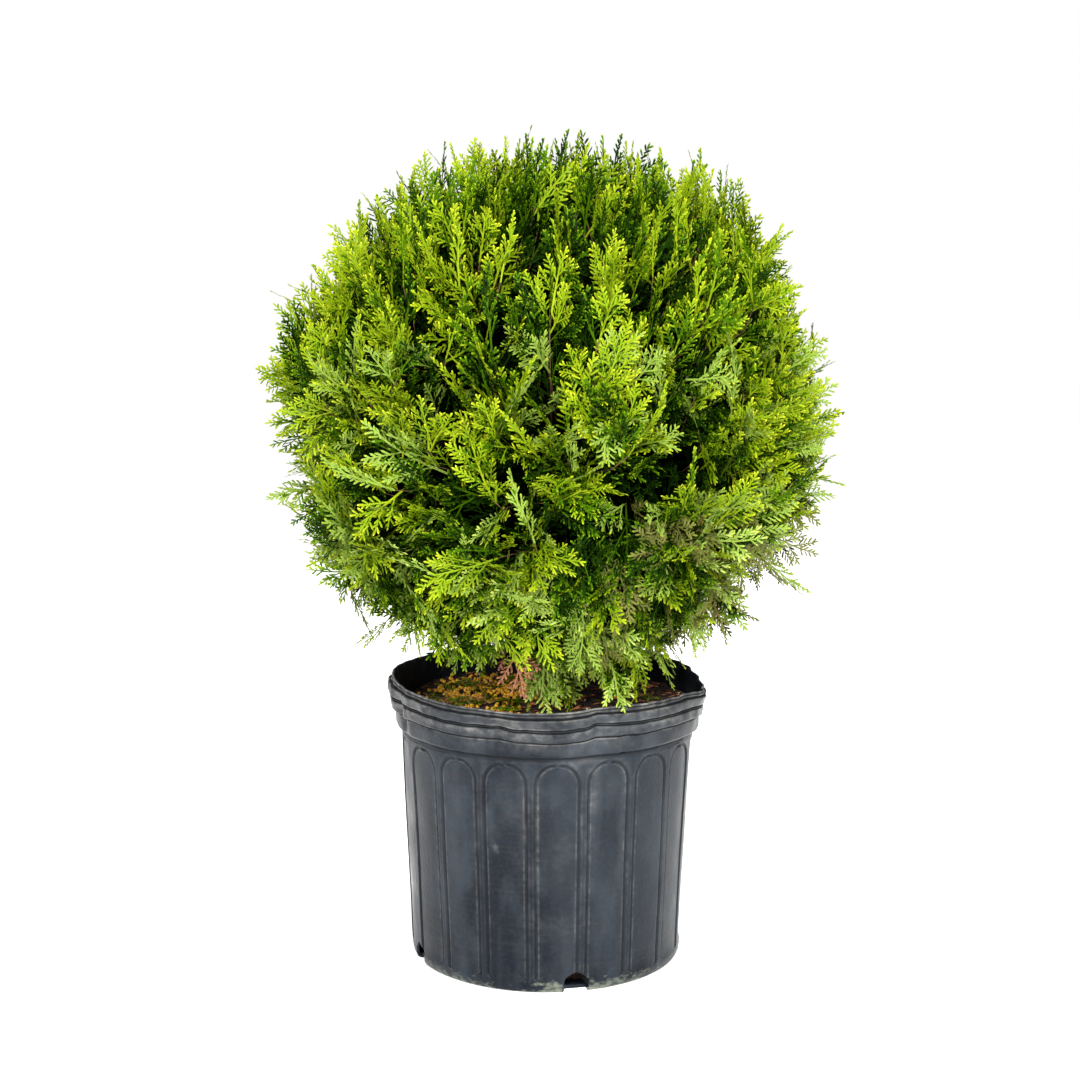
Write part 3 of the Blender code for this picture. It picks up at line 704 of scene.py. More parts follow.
class Sheaf:
    """Vertices and faces gathered from many small shapes."""

    def __init__(self):
        self.verts = []
        self.corners = []
        self.counts = []
        self.slots = []
        self.total = 0

    def add(self, verts, corners, counts, slots=None):
        """Add one shape, or many copies that share a face layout."""
        self.verts.append(np.asarray(verts, float))
        self.corners.append(np.asarray(corners) + self.total)
        self.counts.append(np.asarray(counts))
        filled = np.zeros(len(counts), int) if slots is None else np.asarray(slots)
        self.slots.append(filled)
        self.total += len(verts)

    def mesh(self, name):
        """One mesh of everything that was gathered."""
        return mesh_from_arrays(
            name,
            np.concatenate(self.verts),
            np.concatenate(self.corners),
            np.concatenate(self.counts),
            np.concatenate(self.slots),
        )


def grid_faces(rows, columns):
    """Corners and counts of the quads of a grid that is closed round its columns."""
    row, column = np.meshgrid(np.arange(rows - 1), np.arange(columns), indexing="ij")
    following = (column + 1) % columns
    quads = np.stack(
        [
            row * columns + column,
            row * columns + following,
            (row + 1) * columns + following,
            (row + 1) * columns + column,
        ],
        axis=-1,
    ).reshape(-1, 4)
    return quads.ravel(), np.full(len(quads), 4)


def reversed_quads(corners):
    """Corners of quads that face the other way."""
    return corners.reshape(-1, 4)[:, ::-1].ravel()


def shell_mesh(name, rings, ends, is_reversed=False):
    """Closed mesh of rings of points joined by quads, with a fan to a point at both ends."""
    columns = len(rings[0])
    corners, counts = grid_faces(len(rings), columns)
    ring = np.arange(columns)
    after = (ring + 1) % columns
    if is_reversed:
        corners = reversed_quads(corners)
        ring, after = after, ring
    total = len(rings) * columns
    last = total - columns
    first_fan = np.stack([np.full(columns, total), after, ring], axis=-1)
    last_fan = np.stack([np.full(columns, total + 1), last + ring, last + after], axis=-1)
    corners = np.concatenate((corners, first_fan.ravel(), last_fan.ravel()))
    counts = np.concatenate((counts, np.full(2 * columns, 3)))
    return mesh_from_arrays(name, np.concatenate((*rings, np.array(ends))), corners, counts)


def carry_values(mesh, name, values):
    """Let a mesh carry a value for each of its vertices."""
    layer = mesh.attributes.new(name, "FLOAT", "POINT")
    layer.data.foreach_set("value", np.asarray(values, np.float32))


def mesh_from_bmesh(name, bm):
    """A mesh from an edit mesh, which is then freed."""
    mesh = bpy.data.meshes.new(name)
    bm.to_mesh(mesh)
    bm.free()
    return mesh


def turn_outwards(mesh, weld=0.0):
    """Face a mesh outwards and shade it smooth, with points nearer than the weld made one."""
    bm = bmesh.new()
    bm.from_mesh(mesh)
    if weld:
        bmesh.ops.remove_doubles(bm, verts=bm.verts, dist=weld)
    bmesh.ops.recalc_face_normals(bm, faces=bm.faces)
    bm.to_mesh(mesh)
    bm.free()
    mesh.shade_smooth()


def finish_piece(obj, body, replaced, materials):
    """Give a piece its materials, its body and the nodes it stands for."""
    if obj.data.materials:
        obj.data.materials.clear()
    for material in materials:
        obj.data.materials.append(material)
    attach(obj, body)
    if replaced:
        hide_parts(*replaced)
    return obj


# Node graphs


class Graph:
    """Nodes of one tree, filled in and wired as they are made."""

    def __init__(self, tree):
        self.tree = tree
        self.wire = tree.links.new
        self.coordinates = None

    def fill(self, socket, value):
        """Give an input a number, a colour, a name or another node's socket."""
        if isinstance(value, bpy.types.NodeSocket):
            self.wire(value, socket)
        elif socket.type == "RGBA":
            socket.default_value = (*value, 1.0)
        else:
            socket.default_value = value

    def add(self, kind, inputs=None, **settings):
        """Add a node with its settings and its inputs."""
        node = self.tree.nodes.new(kind)
        for key, value in settings.items():
            setattr(node, key, value)
        for key, value in (inputs or {}).items():
            self.fill(node.inputs[key], value)
        return node

    def maths(self, operation, first, second):
        """A sum, difference or product of two sockets or numbers."""
        return self.add("ShaderNodeMath", {0: first, 1: second}, operation=operation).outputs[0]

    def total(self, *parts, base=None):
        """Sum of sockets, each times its weight, on top of a base."""
        result = base
        for socket, weight in parts:
            part = self.maths("MULTIPLY", socket, weight)
            result = part if result is None else self.maths("ADD", result, part)
        return result

    def mixed(self, factor, first, second):
        """Mix two colours by a factor socket. A colour may be a socket or a plain tuple."""
        return self.add("ShaderNodeMix", {0: factor, 6: first, 7: second}, data_type="RGBA").outputs[2]

    def ramp(self, source, low, high):
        """Stretch a value so that low becomes zero and high becomes one."""
        inputs = {"Value": source, "From Min": low, "From Max": high}
        return self.add("ShaderNodeMapRange", inputs, clamp=True).outputs["Result"]

    def noise(self, scale, detail=3.0, stretch=(1.0, 1.0, 1.0)):
        """Noise over object coordinates, stretched along the axes."""
        if self.coordinates is None:
            self.coordinates = self.add("ShaderNodeTexCoord").outputs["Object"]
        mapping = self.add("ShaderNodeMapping", {"Vector": self.coordinates, "Scale": stretch})
        inputs = {"Vector": mapping.outputs["Vector"], "Scale": scale, "Detail": detail}
        return self.add("ShaderNodeTexNoise", inputs).outputs["Fac"]

    def attribute(self, name):
        """A value that the mesh carries, for a material."""
        return self.add("ShaderNodeAttribute", attribute_name=name).outputs["Fac"]

    def named_value(self, name):
        """A value that the mesh carries, for geometry nodes."""
        node = self.add("GeometryNodeInputNamedAttribute", {"Name": name}, data_type="FLOAT")
        return node.outputs["Attribute"]

    def bump(self, shader, height, strength, distance):
        """Bump on a shader from a height socket."""
        inputs = {"Strength": strength, "Distance": distance, "Height": height}
        self.wire(self.add("ShaderNodeBump", inputs).outputs["Normal"], shader["Normal"])


def new_group(name, sizes):
    """An empty geometry nodes group with named inputs, its graph and the sockets of its inputs."""
    tree = bpy.data.node_groups.new(name, "GeometryNodeTree")
    for label, kind in (("Geometry", "Geometry"), *sizes, ("Material", "Material")):
        tree.interface.new_socket(label, in_out="INPUT", socket_type="NodeSocket" + kind)
    tree.interface.new_socket("Geometry", in_out="OUTPUT", socket_type="NodeSocketGeometry")
    graph = Graph(tree)
    return tree, graph, graph.add("NodeGroupInput").outputs


def end_group(graph, geometry, material):
    """End a group in real geometry with its material."""
    real = graph.add("GeometryNodeRealizeInstances", {"Geometry": geometry})
    inputs = {"Geometry": real.outputs["Geometry"], "Material": material}
    finish = graph.add("GeometryNodeSetMaterial", inputs)
    graph.add("NodeGroupOutput", {"Geometry": finish.outputs["Geometry"]})


# Materials


def new_material(name):
    """A material, the graph of its nodes and its shader's inputs."""
    material = bpy.data.materials.new(name)
    material.use_nodes = True
    shader = material.node_tree.nodes["Principled BSDF"]
    return material, Graph(material.node_tree), shader.inputs


def dusty_plastic(settings):
    """Slate black plastic with dust, a bleached lip, scuffs, painted highlights and sheens, painted
    shade in its grooves and inside, and a pale crust at its foot.
    """
    material, graph, shader = new_material("dusty_plastic")
    broad = graph.noise(10.0, 4.0, (1.0, 1.0, 0.45))
    streaks = graph.noise(60.0, 5.0, (1.0, 1.0, 0.12))
    mottle = graph.noise(320.0, 5.0)
    grain = graph.noise(420.0)
    rings = graph.noise(16.0, 3.0, (1.0, 1.0, 26.0))
    clouds = graph.noise(34.0, 6.0, (1.0, 1.0, 0.6))
    dust = graph.total(
        (graph.ramp(broad, 0.46, 0.64), 0.34),
        (graph.ramp(streaks, 0.52, 0.76), 0.26),
        (graph.ramp(clouds, 0.48, 0.68), 0.34),
        (graph.ramp(mottle, 0.46, 0.80), 0.16),
    )
    colour = graph.mixed(dust, tuple(settings.colour), tuple(settings.dust))
    brown_share = graph.maths("MULTIPLY", graph.ramp(rings, 0.55, 0.75), 0.16)
    colour = graph.mixed(brown_share, colour, OLD_DIRT)

    smears = graph.ramp(graph.noise(30.0, 5.0, (1.0, 1.0, 1.8)), 0.38, 0.62)
    specks = graph.ramp(graph.noise(150.0, 11.0, (1.0, 1.0, 1.3)), 0.36, 0.72)
    smears = graph.total((smears, 0.95), base=0.40)
    specks = graph.total((specks, 0.75), base=0.16)
    patchy = graph.maths("MULTIPLY", smears, specks)
    # Worn lip and scuffs, with painted highlights on edges and painted sheens, in the pale colour
    wear_and_highlight_share = graph.maths("MULTIPLY", graph.attribute("rubbed"), patchy)
    colour = graph.mixed(wear_and_highlight_share, colour, tuple(settings.wear_and_highlight_colour))

    flakes = graph.noise(190.0, 9.0, (1.0, 1.0, 1.6))
    crust = graph.maths("ADD", graph.attribute("crust"), flakes)
    crust = graph.ramp(crust, 0.92, 1.34)
    colour = graph.mixed(crust, colour, tuple(settings.scale_deposit))

    # Painted shade in the grooves, panel steps and inner wall, with dirt spots
    grime = graph.attribute("grime")
    graph.wire(graph.mixed(grime, colour, DIRT_AND_SHADE_COLOUR), shader["Base Color"])
    graph.fill(shader["Specular IOR Level"], 0.14)
    roughness = graph.total((clouds, 0.60), (crust, 0.30), (grime, 0.40), base=0.08)
    graph.wire(roughness, shader["Roughness"])
    height = graph.total((grain, 1.0), (mottle, 0.8), (clouds, 2.2), (crust, 2.0))
    graph.bump(shader, height, 0.30, 0.0006)
    return material


def earthy(name, dark, light, scale, roughness=0.95):
    """Crumbly matter of two tones."""
    material, graph, shader = new_material(name)
    coarse = graph.noise(scale, 8.0)
    fine = graph.noise(scale * 6.0, 4.0)
    graph.wire(graph.mixed(graph.ramp(coarse, 0.35, 0.68), dark, light), shader["Base Color"])
    graph.fill(shader["Roughness"], roughness)
    graph.bump(shader, graph.maths("ADD", coarse, fine), 0.6, 0.0012)
    return material


def fibrous_bark(settings):
    """Stringy bark with long pale ridges and dark furrows."""
    material, graph, shader = new_material("fibrous_bark")
    strings = graph.noise(260.0, 6.0, (1.0, 1.0, 0.10))
    patches = graph.noise(40.0, 4.0)
    light = tuple(min(1.0, channel * 1.9) for channel in settings.colour)
    dark = tuple(channel * 0.35 for channel in settings.colour)
    colour = graph.mixed(graph.ramp(strings, 0.32, 0.70), dark, light)
    grey_share = graph.maths("MULTIPLY", graph.ramp(patches, 0.45, 0.7), 0.5)
    graph.wire(graph.mixed(grey_share, colour, GREY_BARK), shader["Base Color"])
    graph.fill(shader["Roughness"], 0.9)
    graph.bump(shader, strings, 0.7, 0.0010)
    return material


def plain(name, colour, roughness, specular):
    """One plain colour."""
    material, graph, shader = new_material(name)
    graph.fill(shader["Base Color"], colour)
    graph.fill(shader["Roughness"], roughness)
    graph.fill(shader["Specular IOR Level"], specular)
    return material


def foliage_palette():
    """The foliage's plain colours."""
    return [plain(name, colour, 0.50, FOLIAGE_GLOSS.get(name, 0.05)) for name, colour in PALETTE]


# Can


def periodic(knots, bearing):
    """Smooth value at a bearing between knots that run once round, in degrees."""
    angles, values = np.array(knots).T
    angles = np.concatenate(([angles[-1] - 360.0], angles, angles[:3] + 360.0))
    values = np.concatenate(([values[-1]], values, values[:3]))
    wrapped = (np.asarray(bearing) + 180.0) % 360.0 - 180.0
    index = np.clip(np.searchsorted(angles, wrapped, side="right") - 1, 1, len(angles) - 3)
    share = (wrapped - angles[index]) / (angles[index + 1] - angles[index])
    eased = share * share * (3.0 - 2.0 * share)
    return values[index] * (1.0 - eased) + values[index + 1] * eased


def body_radius(height):
    """Radius of the can's tapering body."""
    share = (height - BODY_FOOT_Z) / (BODY_TOP_Z - BODY_FOOT_Z)
    return BODY_FOOT_R + share * (BODY_TOP_R - BODY_FOOT_R)


def rounded_profile(corners):
    """Round the corners of a profile of (radius, height) pairs."""
    points = [corners[0]]
    for before, corner, after in zip(corners, corners[1:], corners[2:]):
        corner = np.array(corner)
        ends = []
        for neighbour in (before, after):
            run = np.array(neighbour) - corner
            length = np.linalg.norm(run)
            ends.append(corner + run / length * min(FILLET, 0.45 * length))
        start, end = ends
        for step in range(FILLET_STEPS + 1):
            share = step / FILLET_STEPS
            point = start * (1 - share) ** 2 + corner * 2 * share * (1 - share) + end * share**2
            points.append(tuple(point))
    points.append(corners[-1])
    return points


def can_profile():
    """Section of the can from the floor's middle, up inside, over the lip and down to the foot."""
    inside = [
        (BODY_FOOT_R - WALL - 0.0010, FLOOR),
        (BODY_TOP_R - WALL, BODY_TOP_Z),
        (COLLAR_R - WALL - 0.0010, RIM_Z - COLLAR_FOOT_DROP + 0.001),
        (COLLAR_R - WALL, RIM_Z - BAND_FOOT_DROP),
    ]
    lip = [(RIM_R - inset, RIM_Z - drop) for inset, drop in LIP_POINTS]
    collar = [
        (COLLAR_R - 0.0008, RIM_Z - 0.0257),
        (COLLAR_R, RIM_Z - COLLAR_DROP),
        (COLLAR_R - 0.0006, RIM_Z - 0.0388),
        (COLLAR_R - 0.0020, RIM_Z - COLLAR_FOOT_DROP),
        (BODY_TOP_R - 0.0002, BODY_TOP_Z + 0.0003),
    ]
    upper = rounded_profile(inside + lip + collar)
    rows = []
    span = PANEL_TOP_Z - PANEL_SPRING_Z + PANEL_MARKS[-1][0]
    for step in range(ARCH_ROWS + 1):
        height = PANEL_SPRING_Z + span * math.cos(0.5 * math.pi * step / ARCH_ROWS)
        rows.append((body_radius(height), height))
    for step in range(1, BODY_ROWS + 1):
        height = PANEL_SPRING_Z + (PANEL_FOOT_Z - PANEL_SPRING_Z) * step / BODY_ROWS
        rows.append((body_radius(height), height))
    foot = [
        (body_radius(PANEL_FOOT_Z - PANEL_FADE * 0.5), PANEL_FOOT_Z - PANEL_FADE * 0.5),
        (BODY_FOOT_R, BODY_FOOT_Z),
        (BODY_FOOT_R - 0.0005, BODY_FOOT_Z * 0.55),
        (BODY_FOOT_R - 0.0018, BODY_FOOT_Z * 0.22),
        (UNDERSIDE_R, 0.0002),
        (UNDERSIDE_R - 0.0060, 0.0),
        (0.0400, 0.0),
    ]
    return upper, rows, foot


def arch_half_width(height, offset, radius):
    """Half width at a height of the arch drawn at an offset outside the panel's outline."""
    width = radius * PANEL_HALF_ANGLE + offset
    over = height - PANEL_SPRING_Z
    if over <= 0.0:
        return width
    if over >= width:
        return 0.0
    return math.sqrt(width * width - over * over)


def sector_columns(height, radius, has_panel):
    """Angle, depth, painted shade and painted highlight across half a sector, from its middle to its
    border.
    """
    half_sector = math.pi / PANEL_COUNT
    fade = np.clip((height - PANEL_FOOT_Z + PANEL_FADE) / PANEL_FADE, 0.0, 1.0) if has_panel else 0.0
    first_offset, floor_depth, _, _ = PANEL_MARKS[0]
    inner = arch_half_width(height, first_offset, radius) if has_panel else 0.0
    rows = []
    for step in range(PANEL_FLOOR_COLUMNS):
        angle = inner * step / PANEL_FLOOR_COLUMNS / radius
        rows.append((angle, floor_depth * fade if inner > 0.0 else 0.0, 0.0, 0.0))
    for offset, depth, grime, wear_and_highlight_share in PANEL_MARKS:
        width = arch_half_width(height, offset, radius) if has_panel else 0.0
        share = fade if width > 0.0 else 0.0
        rows.append((width / radius, depth * share, grime * share, wear_and_highlight_share * share))
    rows.append((half_sector, 0.0, 0.0, 0.0))
    columns = np.array(rows)
    even = half_sector * np.arange(len(rows)) / (len(rows) - 1)
    relax = COLUMN_EVENING if has_panel else 1.0
    columns[:, 0] = columns[:, 0] * (1.0 - relax) + even * relax
    return columns


def can_shape(theta, radius, height):
    """Where a point of the true can lies after the knocks that the can has had."""
    bearing = np.degrees(theta)
    high = np.clip((height - KNOCKS_FROM_Z) / (RIM_Z - KNOCKS_FROM_Z), 0.0, 1.0)
    on_rim = np.clip((height - BODY_TOP_Z) / 0.004, 0.0, 1.0)
    lifted = np.clip((height - RISE_FROM_Z) / (RIM_Z - RISE_FROM_Z), 0.0, 1.0)
    rise = periodic(RIM_RISE, bearing) * lifted
    sag = periodic(BAND_SAG, bearing) * np.exp(-(((height - SAG_HEIGHT) / SAG_SPREAD) ** 2))
    lobes = 0.0009 * np.sin(5.0 * theta + 0.6) + 0.0007 * np.sin(8.0 * theta + 2.1)
    swell = 0.00040 * np.sin(3.0 * theta + 14.0 * height)
    swell = swell + 0.0002 * np.sin(11.0 * theta + 40.0 * height)
    crumple = 0.00110 * np.sin(23.0 * theta + 70.0 * height)
    crumple = crumple * np.sin(17.0 * theta - 110.0 * height + 1.0)
    crumple = crumple + 0.00060 * np.sin(41.0 * theta + 230.0 * height + 0.5)
    moved = radius - BODY_INSET * (1.0 - on_rim) + lobes * high**1.5
    moved = moved + swell * np.clip(height / 0.02, 0.0, 1.0) + crumple * high**4
    for dent_bearing, dent_height, half_width, half_height, depth in DENTS:
        away = (bearing - dent_bearing + 180.0) % 360.0 - 180.0
        fall = np.exp(-((away / half_width) ** 2) - ((height - dent_height) / half_height) ** 2)
        moved = moved - depth * fall
    return moved, height + rise + sag


def near_any(value, centres, spread):
    """One at any of the centres, falling to nothing away from them."""
    return max(math.exp(-(((value - centre) / spread) ** 2)) for centre in centres)


def marks_at(marks, theta, radius, height):
    """Strength of a list of small marks at the points of one ring."""
    bearing = np.degrees(theta)
    total = np.zeros(len(theta))
    for mark_bearing, mark_height, half_width, half_height, strength in marks:
        away = np.radians((bearing - mark_bearing + 180.0) % 360.0 - 180.0) * radius
        fall = np.exp(-((away / half_width) ** 2) - ((height - mark_height) / half_height) ** 2)
        total = np.maximum(total, strength * fall)
    return total


def can_wear_and_painted_light(theta, radius, height, columns):
    """How worn and lit by painted highlights, how crusted, and how dirty and darkened by painted shade
    the can is along one ring.
    """
    drop = RIM_Z - height
    lip = float(np.interp(drop, *LIP_WEAR)) if drop < PALE_LIMIT else 0.0
    # Band edges are lightened as painted highlights
    edge = near_any(drop, HIGHLIGHT_EDGES, EDGE_SPREAD)
    is_inside = drop < COLLAR_FOOT_DROP and radius < RIM_R - float(np.interp(drop, *INSIDE_LIMIT))
    rubbed = (0.0 if is_inside else max(lip, edge)) + columns[:, 3]
    # Scuffs, and sheens painted as highlights
    rubbed = rubbed + marks_at(SCUFFS_AND_SHEENS, theta, radius, height)
    near_foot = max(0.0, 1.0 - height / CRUST_HEIGHT)
    patch = 0.5 + 0.5 * np.sin(theta * 3.0 + 2.4) * np.sin(theta * 7.0 + 0.3)
    round_drain = np.exp(-(((np.degrees(theta) - DRAIN_BEARINGS[0]) / 15.0) ** 2))
    crust = near_foot * (0.44 + 0.26 * patch + 0.30 * round_drain)
    # Painted shade on the inner wall and in the lip's grooves, with dirt spots
    line = INSIDE_SHADE if is_inside else near_any(drop, SHADED_GROOVES, LINE_SPREAD)
    grime = np.maximum(columns[:, 2], 0.85 * line) + marks_at(SPOTS, theta, radius, height)
    return np.clip(rubbed, 0.0, 1.0), crust, np.clip(grime, 0.0, 1.0)


def can_mesh():
    """Closed shell of the can, with its knocked rim, bands and arched panels."""
    upper, body, foot = can_profile()
    rows = [(point, False) for point in upper]
    rows += [(point, True) for point in body]
    rows += [(point, False) for point in foot]
    turns = PANEL_TURN + math.tau * np.arange(PANEL_COUNT) / PANEL_COUNT
    rings = []
    marks_and_painted_light = []
    for (radius, height), has_panel in rows:
        side = sector_columns(height, max(radius, LEAST_SECTOR_R), has_panel)
        mirrored = side[1:-1][::-1] * (-1.0, 1.0, 1.0, 1.0)
        sector = np.concatenate((mirrored, side))
        ring = np.tile(sector, (PANEL_COUNT, 1))
        ring[:, 0] += np.repeat(turns, len(sector))
        theta = ring[:, 0]
        moved, lifted = can_shape(theta, radius + ring[:, 1], np.full(len(theta), height))
        rings.append(np.stack([moved * np.sin(theta), -moved * np.cos(theta), lifted], axis=-1))
        marks_and_painted_light.append(np.stack(can_wear_and_painted_light(theta, radius, height, ring)))
    mesh = shell_mesh("can", rings, ((0.0, 0.0, FLOOR), (0.0, 0.0, 0.0)))
    marks_and_painted_light.append(np.zeros((3, 2)))
    for name, values in zip(("rubbed", "crust", "grime"), np.concatenate(marks_and_painted_light, axis=1)):
        carry_values(mesh, name, values)
    return mesh


def drain_prism(bearing):
    """A rounded arch that cuts one drain hole through the foot of the can."""
    points = [(-DRAIN_HALF_WIDTH, -FLOOR), (DRAIN_HALF_WIDTH, -FLOOR)]
    spring = DRAIN_HEIGHT - DRAIN_HALF_WIDTH
    for step in range(DRAIN_ARCH_STEPS + 1):
        turn = math.pi * step / DRAIN_ARCH_STEPS
        wobble = 1.0 + 0.04 * math.sin(5.0 * turn + bearing * 3.0)
        across = DRAIN_HALF_WIDTH * wobble * math.cos(turn)
        points.append((across, spring + DRAIN_HALF_WIDTH * wobble * math.sin(turn)))
    bm = bmesh.new()
    outline = [bm.verts.new((across, -DRAIN_START_R, height)) for across, height in points]
    grown = bmesh.ops.extrude_face_region(bm, geom=[bm.faces.new(outline)])
    moved = [item for item in grown["geom"] if isinstance(item, bmesh.types.BMVert)]
    bmesh.ops.translate(bm, verts=moved, vec=(0.0, -DRAIN_RUN, 0.0))
    bmesh.ops.rotate(bm, verts=bm.verts, cent=(0, 0, 0), matrix=Matrix.Rotation(bearing, 3, "Z"))
    bmesh.ops.recalc_face_normals(bm, faces=bm.faces)
    return link(bpy.data.objects.new("drain", mesh_from_bmesh("drain", bm)))


def evaluated_mesh(obj):
    """The plain mesh that an object's modifiers give."""
    bpy.context.view_layer.update()
    evaluated = obj.evaluated_get(bpy.context.evaluated_depsgraph_get())
    return bpy.data.meshes.new_from_object(evaluated)


def grown_mesh(name, guide, tree, values):
    """The mesh that geometry nodes make of a guide, which is then removed."""
    modifier = guide.modifiers.new("Grow", "NODES")
    modifier.node_group = tree
    for item in tree.interface.items_tree:
        if item.in_out == "INPUT" and item.name in values:
            modifier[item.identifier] = values[item.name]
    mesh = evaluated_mesh(guide)
    mesh.name = name
    bpy.data.objects.remove(guide, do_unlink=True)
    if not mesh.polygons:
        raise RuntimeError(f"{name} has no faces")
    return mesh


class ARBORVITAE_OT_can(bpy.types.Operator):
    """Build the nursery can"""

    bl_idname = "arborvitae.can"
    bl_label = "Can"

    def execute(self, context):
        can = link(bpy.data.objects.new("nursery_can", can_mesh()))
        for bearing in DRAIN_BEARINGS:
            cutter = drain_prism(math.radians(bearing))
            cut = can.modifiers.new("Drain", "BOOLEAN")
            cut.operation = "DIFFERENCE"
            cut.object = cutter
            can.data = evaluated_mesh(can)
            can.modifiers.clear()
            bpy.data.objects.remove(cutter, do_unlink=True)
        if len(can.data.polygons) < LEAST_CAN_FACES:
            raise RuntimeError("the can lost its shell")
        can.data.shade_smooth()
        can.data.set_sharp_from_angle(angle=SHARP_ANGLE)
        finish_piece(can, "root", ["pot"], [dusty_plastic(context.scene.arborvitae_can)])
        return {"FINISHED"}


# Potting mix and what lies on it


def mix_height(x, y):
    """Height of the rough surface of the mix."""
    level = np.hypot(x, y)
    swell = 0.0018 * np.sin(31.0 * x + 1.3) * np.cos(27.0 * y - 0.4)
    lumps = 0.0011 * np.sin(140.0 * x + 2.0) * np.sin(155.0 * y + 0.7)
    crumbs = 0.0006 * np.sin(420.0 * x + 60.0 * y) * np.sin(390.0 * y - 90.0 * x)
    at_stem = 0.0040 * np.exp(-((level / 0.060) ** 2))
    drift = 0.0025 * np.exp(-(((x + 0.060) / 0.050) ** 2) - ((y - 0.020) / 0.080) ** 2)
    return SOIL_Z + 0.0020 + swell + lumps + crumbs + at_stem + drift


def inner_radius(height):
    """Radius that the mix may fill at a height."""
    if height > BODY_TOP_Z:
        return COLLAR_R - WALL - 0.0036
    return body_radius(height) - WALL - 0.0030


def mix_edge(theta):
    """Radius of the mix's top edge, which follows the knocked wall."""
    wall, _ = can_shape(theta, np.full(len(theta), MIX_TOP_R), np.full(len(theta), SOIL_Z + 0.002))
    return wall


def mix_mesh():
    """Closed body of the mix, with a crumbly top."""
    theta = math.tau * np.arange(MIX_COLUMNS) / MIX_COLUMNS
    top_r = mix_edge(theta)
    rings = []
    for step in range(1, MIX_RINGS + 1):
        x = top_r * np.sin(theta) * step / MIX_RINGS
        y = -top_r * np.cos(theta) * step / MIX_RINGS
        rings.append(np.stack([x, y, mix_height(x, y)], axis=-1))
    for radius, height in (
        (inner_radius(BODY_TOP_Z - 0.001) - 0.002, BODY_TOP_Z - 0.001),
        (inner_radius(0.1), 0.1),
        (inner_radius(DRAIN_HEIGHT) - 0.001, DRAIN_HEIGHT + 0.014),
        (inner_radius(FLOOR) - 0.018, DRAIN_HEIGHT + 0.006),
        (inner_radius(FLOOR) - 0.018, FLOOR + 0.001),
        (0.05, FLOOR + 0.001),
    ):
        ring = [radius * np.sin(theta), -radius * np.cos(theta), np.full(MIX_COLUMNS, height)]
        rings.append(np.stack(ring, axis=-1))
    ends = ((0.0, 0.0, mix_height(0.0, 0.0)), (0.0, 0.0, FLOOR + 0.001))
    return shell_mesh("mix", rings, ends, is_reversed=True)


class ARBORVITAE_OT_mix(bpy.types.Operator):
    """Build the bark mix that fills the can"""

    bl_idname = "arborvitae.mix"
    bl_label = "Potting mix"

    def execute(self, context):
        mix = link(bpy.data.objects.new("bark_mix", mix_mesh()))
        mix.data.shade_smooth()
        finish = earthy("damp_bark_mix", (0.002, 0.001, 0.001), (0.052, 0.022, 0.010), 160.0)
        finish_piece(mix, "root", ["potting_mix"], [finish])
        return {"FINISHED"}


def topping_bed(name, weight):
    """The mix's top as a bare sheet that carries how thickly the topping lies."""
    theta = math.tau * np.arange(BED_COLUMNS) / BED_COLUMNS
    outer = mix_edge(theta) - BED_MARGIN
    verts = []
    weights = []
    for step in range(BED_RINGS):
        radius = BED_INNER_R + (outer - BED_INNER_R) * step / (BED_RINGS - 1)
        x = radius * np.sin(theta)
        y = -radius * np.cos(theta)
        verts.append(np.stack([x, y, mix_height(x, y)], axis=-1))
        weights.append(weight(x, y))
    corners, counts = grid_faces(BED_RINGS, BED_COLUMNS)
    mesh = mesh_from_arrays(name, np.concatenate(verts), reversed_quads(corners), counts)
    carry_values(mesh, "bed", np.concatenate(weights))
    return link(bpy.data.objects.new(name, mesh))


def topping_tree():
    """Geometry nodes that strew copies of a grain over a bed."""
    amounts = ("Density", "Smallest", "Largest", "Tumble", "Lift")
    sizes = [("Grain", "Object"), *((amount, "Float") for amount in amounts), ("Seed", "Int")]
    tree, graph, source = new_group("strew_grains", sizes)
    tumble = source["Tumble"]
    density = graph.maths("MULTIPLY", graph.named_value("bed"), source["Density"])
    inputs = {"Mesh": source["Geometry"], "Density": density, "Seed": source["Seed"]}
    points = graph.add("GeometryNodeDistributePointsOnFaces", inputs).outputs["Points"]
    lift = graph.add("ShaderNodeCombineXYZ", {"Z": source["Lift"]}).outputs[0]
    raised = graph.add("GeometryNodeSetPosition", {"Geometry": points, "Offset": lift}).outputs[0]

    back = graph.maths("MULTIPLY", tumble, -1.0)
    lowest = graph.add("ShaderNodeCombineXYZ", {"X": back, "Y": back}).outputs[0]
    inputs = {"X": tumble, "Y": tumble, "Z": math.tau}
    highest = graph.add("ShaderNodeCombineXYZ", inputs).outputs[0]
    inputs = {0: lowest, 1: highest}
    turn = graph.add("FunctionNodeRandomValue", inputs, data_type="FLOAT_VECTOR").outputs[0]
    inputs = {2: source["Smallest"], 3: source["Largest"], "Seed": source["Seed"]}
    size = graph.add("FunctionNodeRandomValue", inputs, data_type="FLOAT").outputs[1]

    grain = graph.add("GeometryNodeObjectInfo", {"Object": source["Grain"]}).outputs["Geometry"]
    inputs = {"Points": raised, "Instance": grain, "Rotation": turn, "Scale": size}
    copies = graph.add("GeometryNodeInstanceOnPoints", inputs).outputs["Instances"]
    end_group(graph, copies, source["Material"])
    return tree


def strew(name, tree, bed, grain, values, material):
    """One topping: grains over a bed, turned into a plain mesh."""
    mesh = grown_mesh(name, bed, tree, {"Grain": grain, "Material": material, **values})
    layer = mesh.attributes.get("bed")
    if layer:
        mesh.attributes.remove(layer)
    bpy.data.objects.remove(grain, do_unlink=True)
    piece = link(bpy.data.objects.new(name, mesh))
    return finish_piece(piece, "root", [], [material])


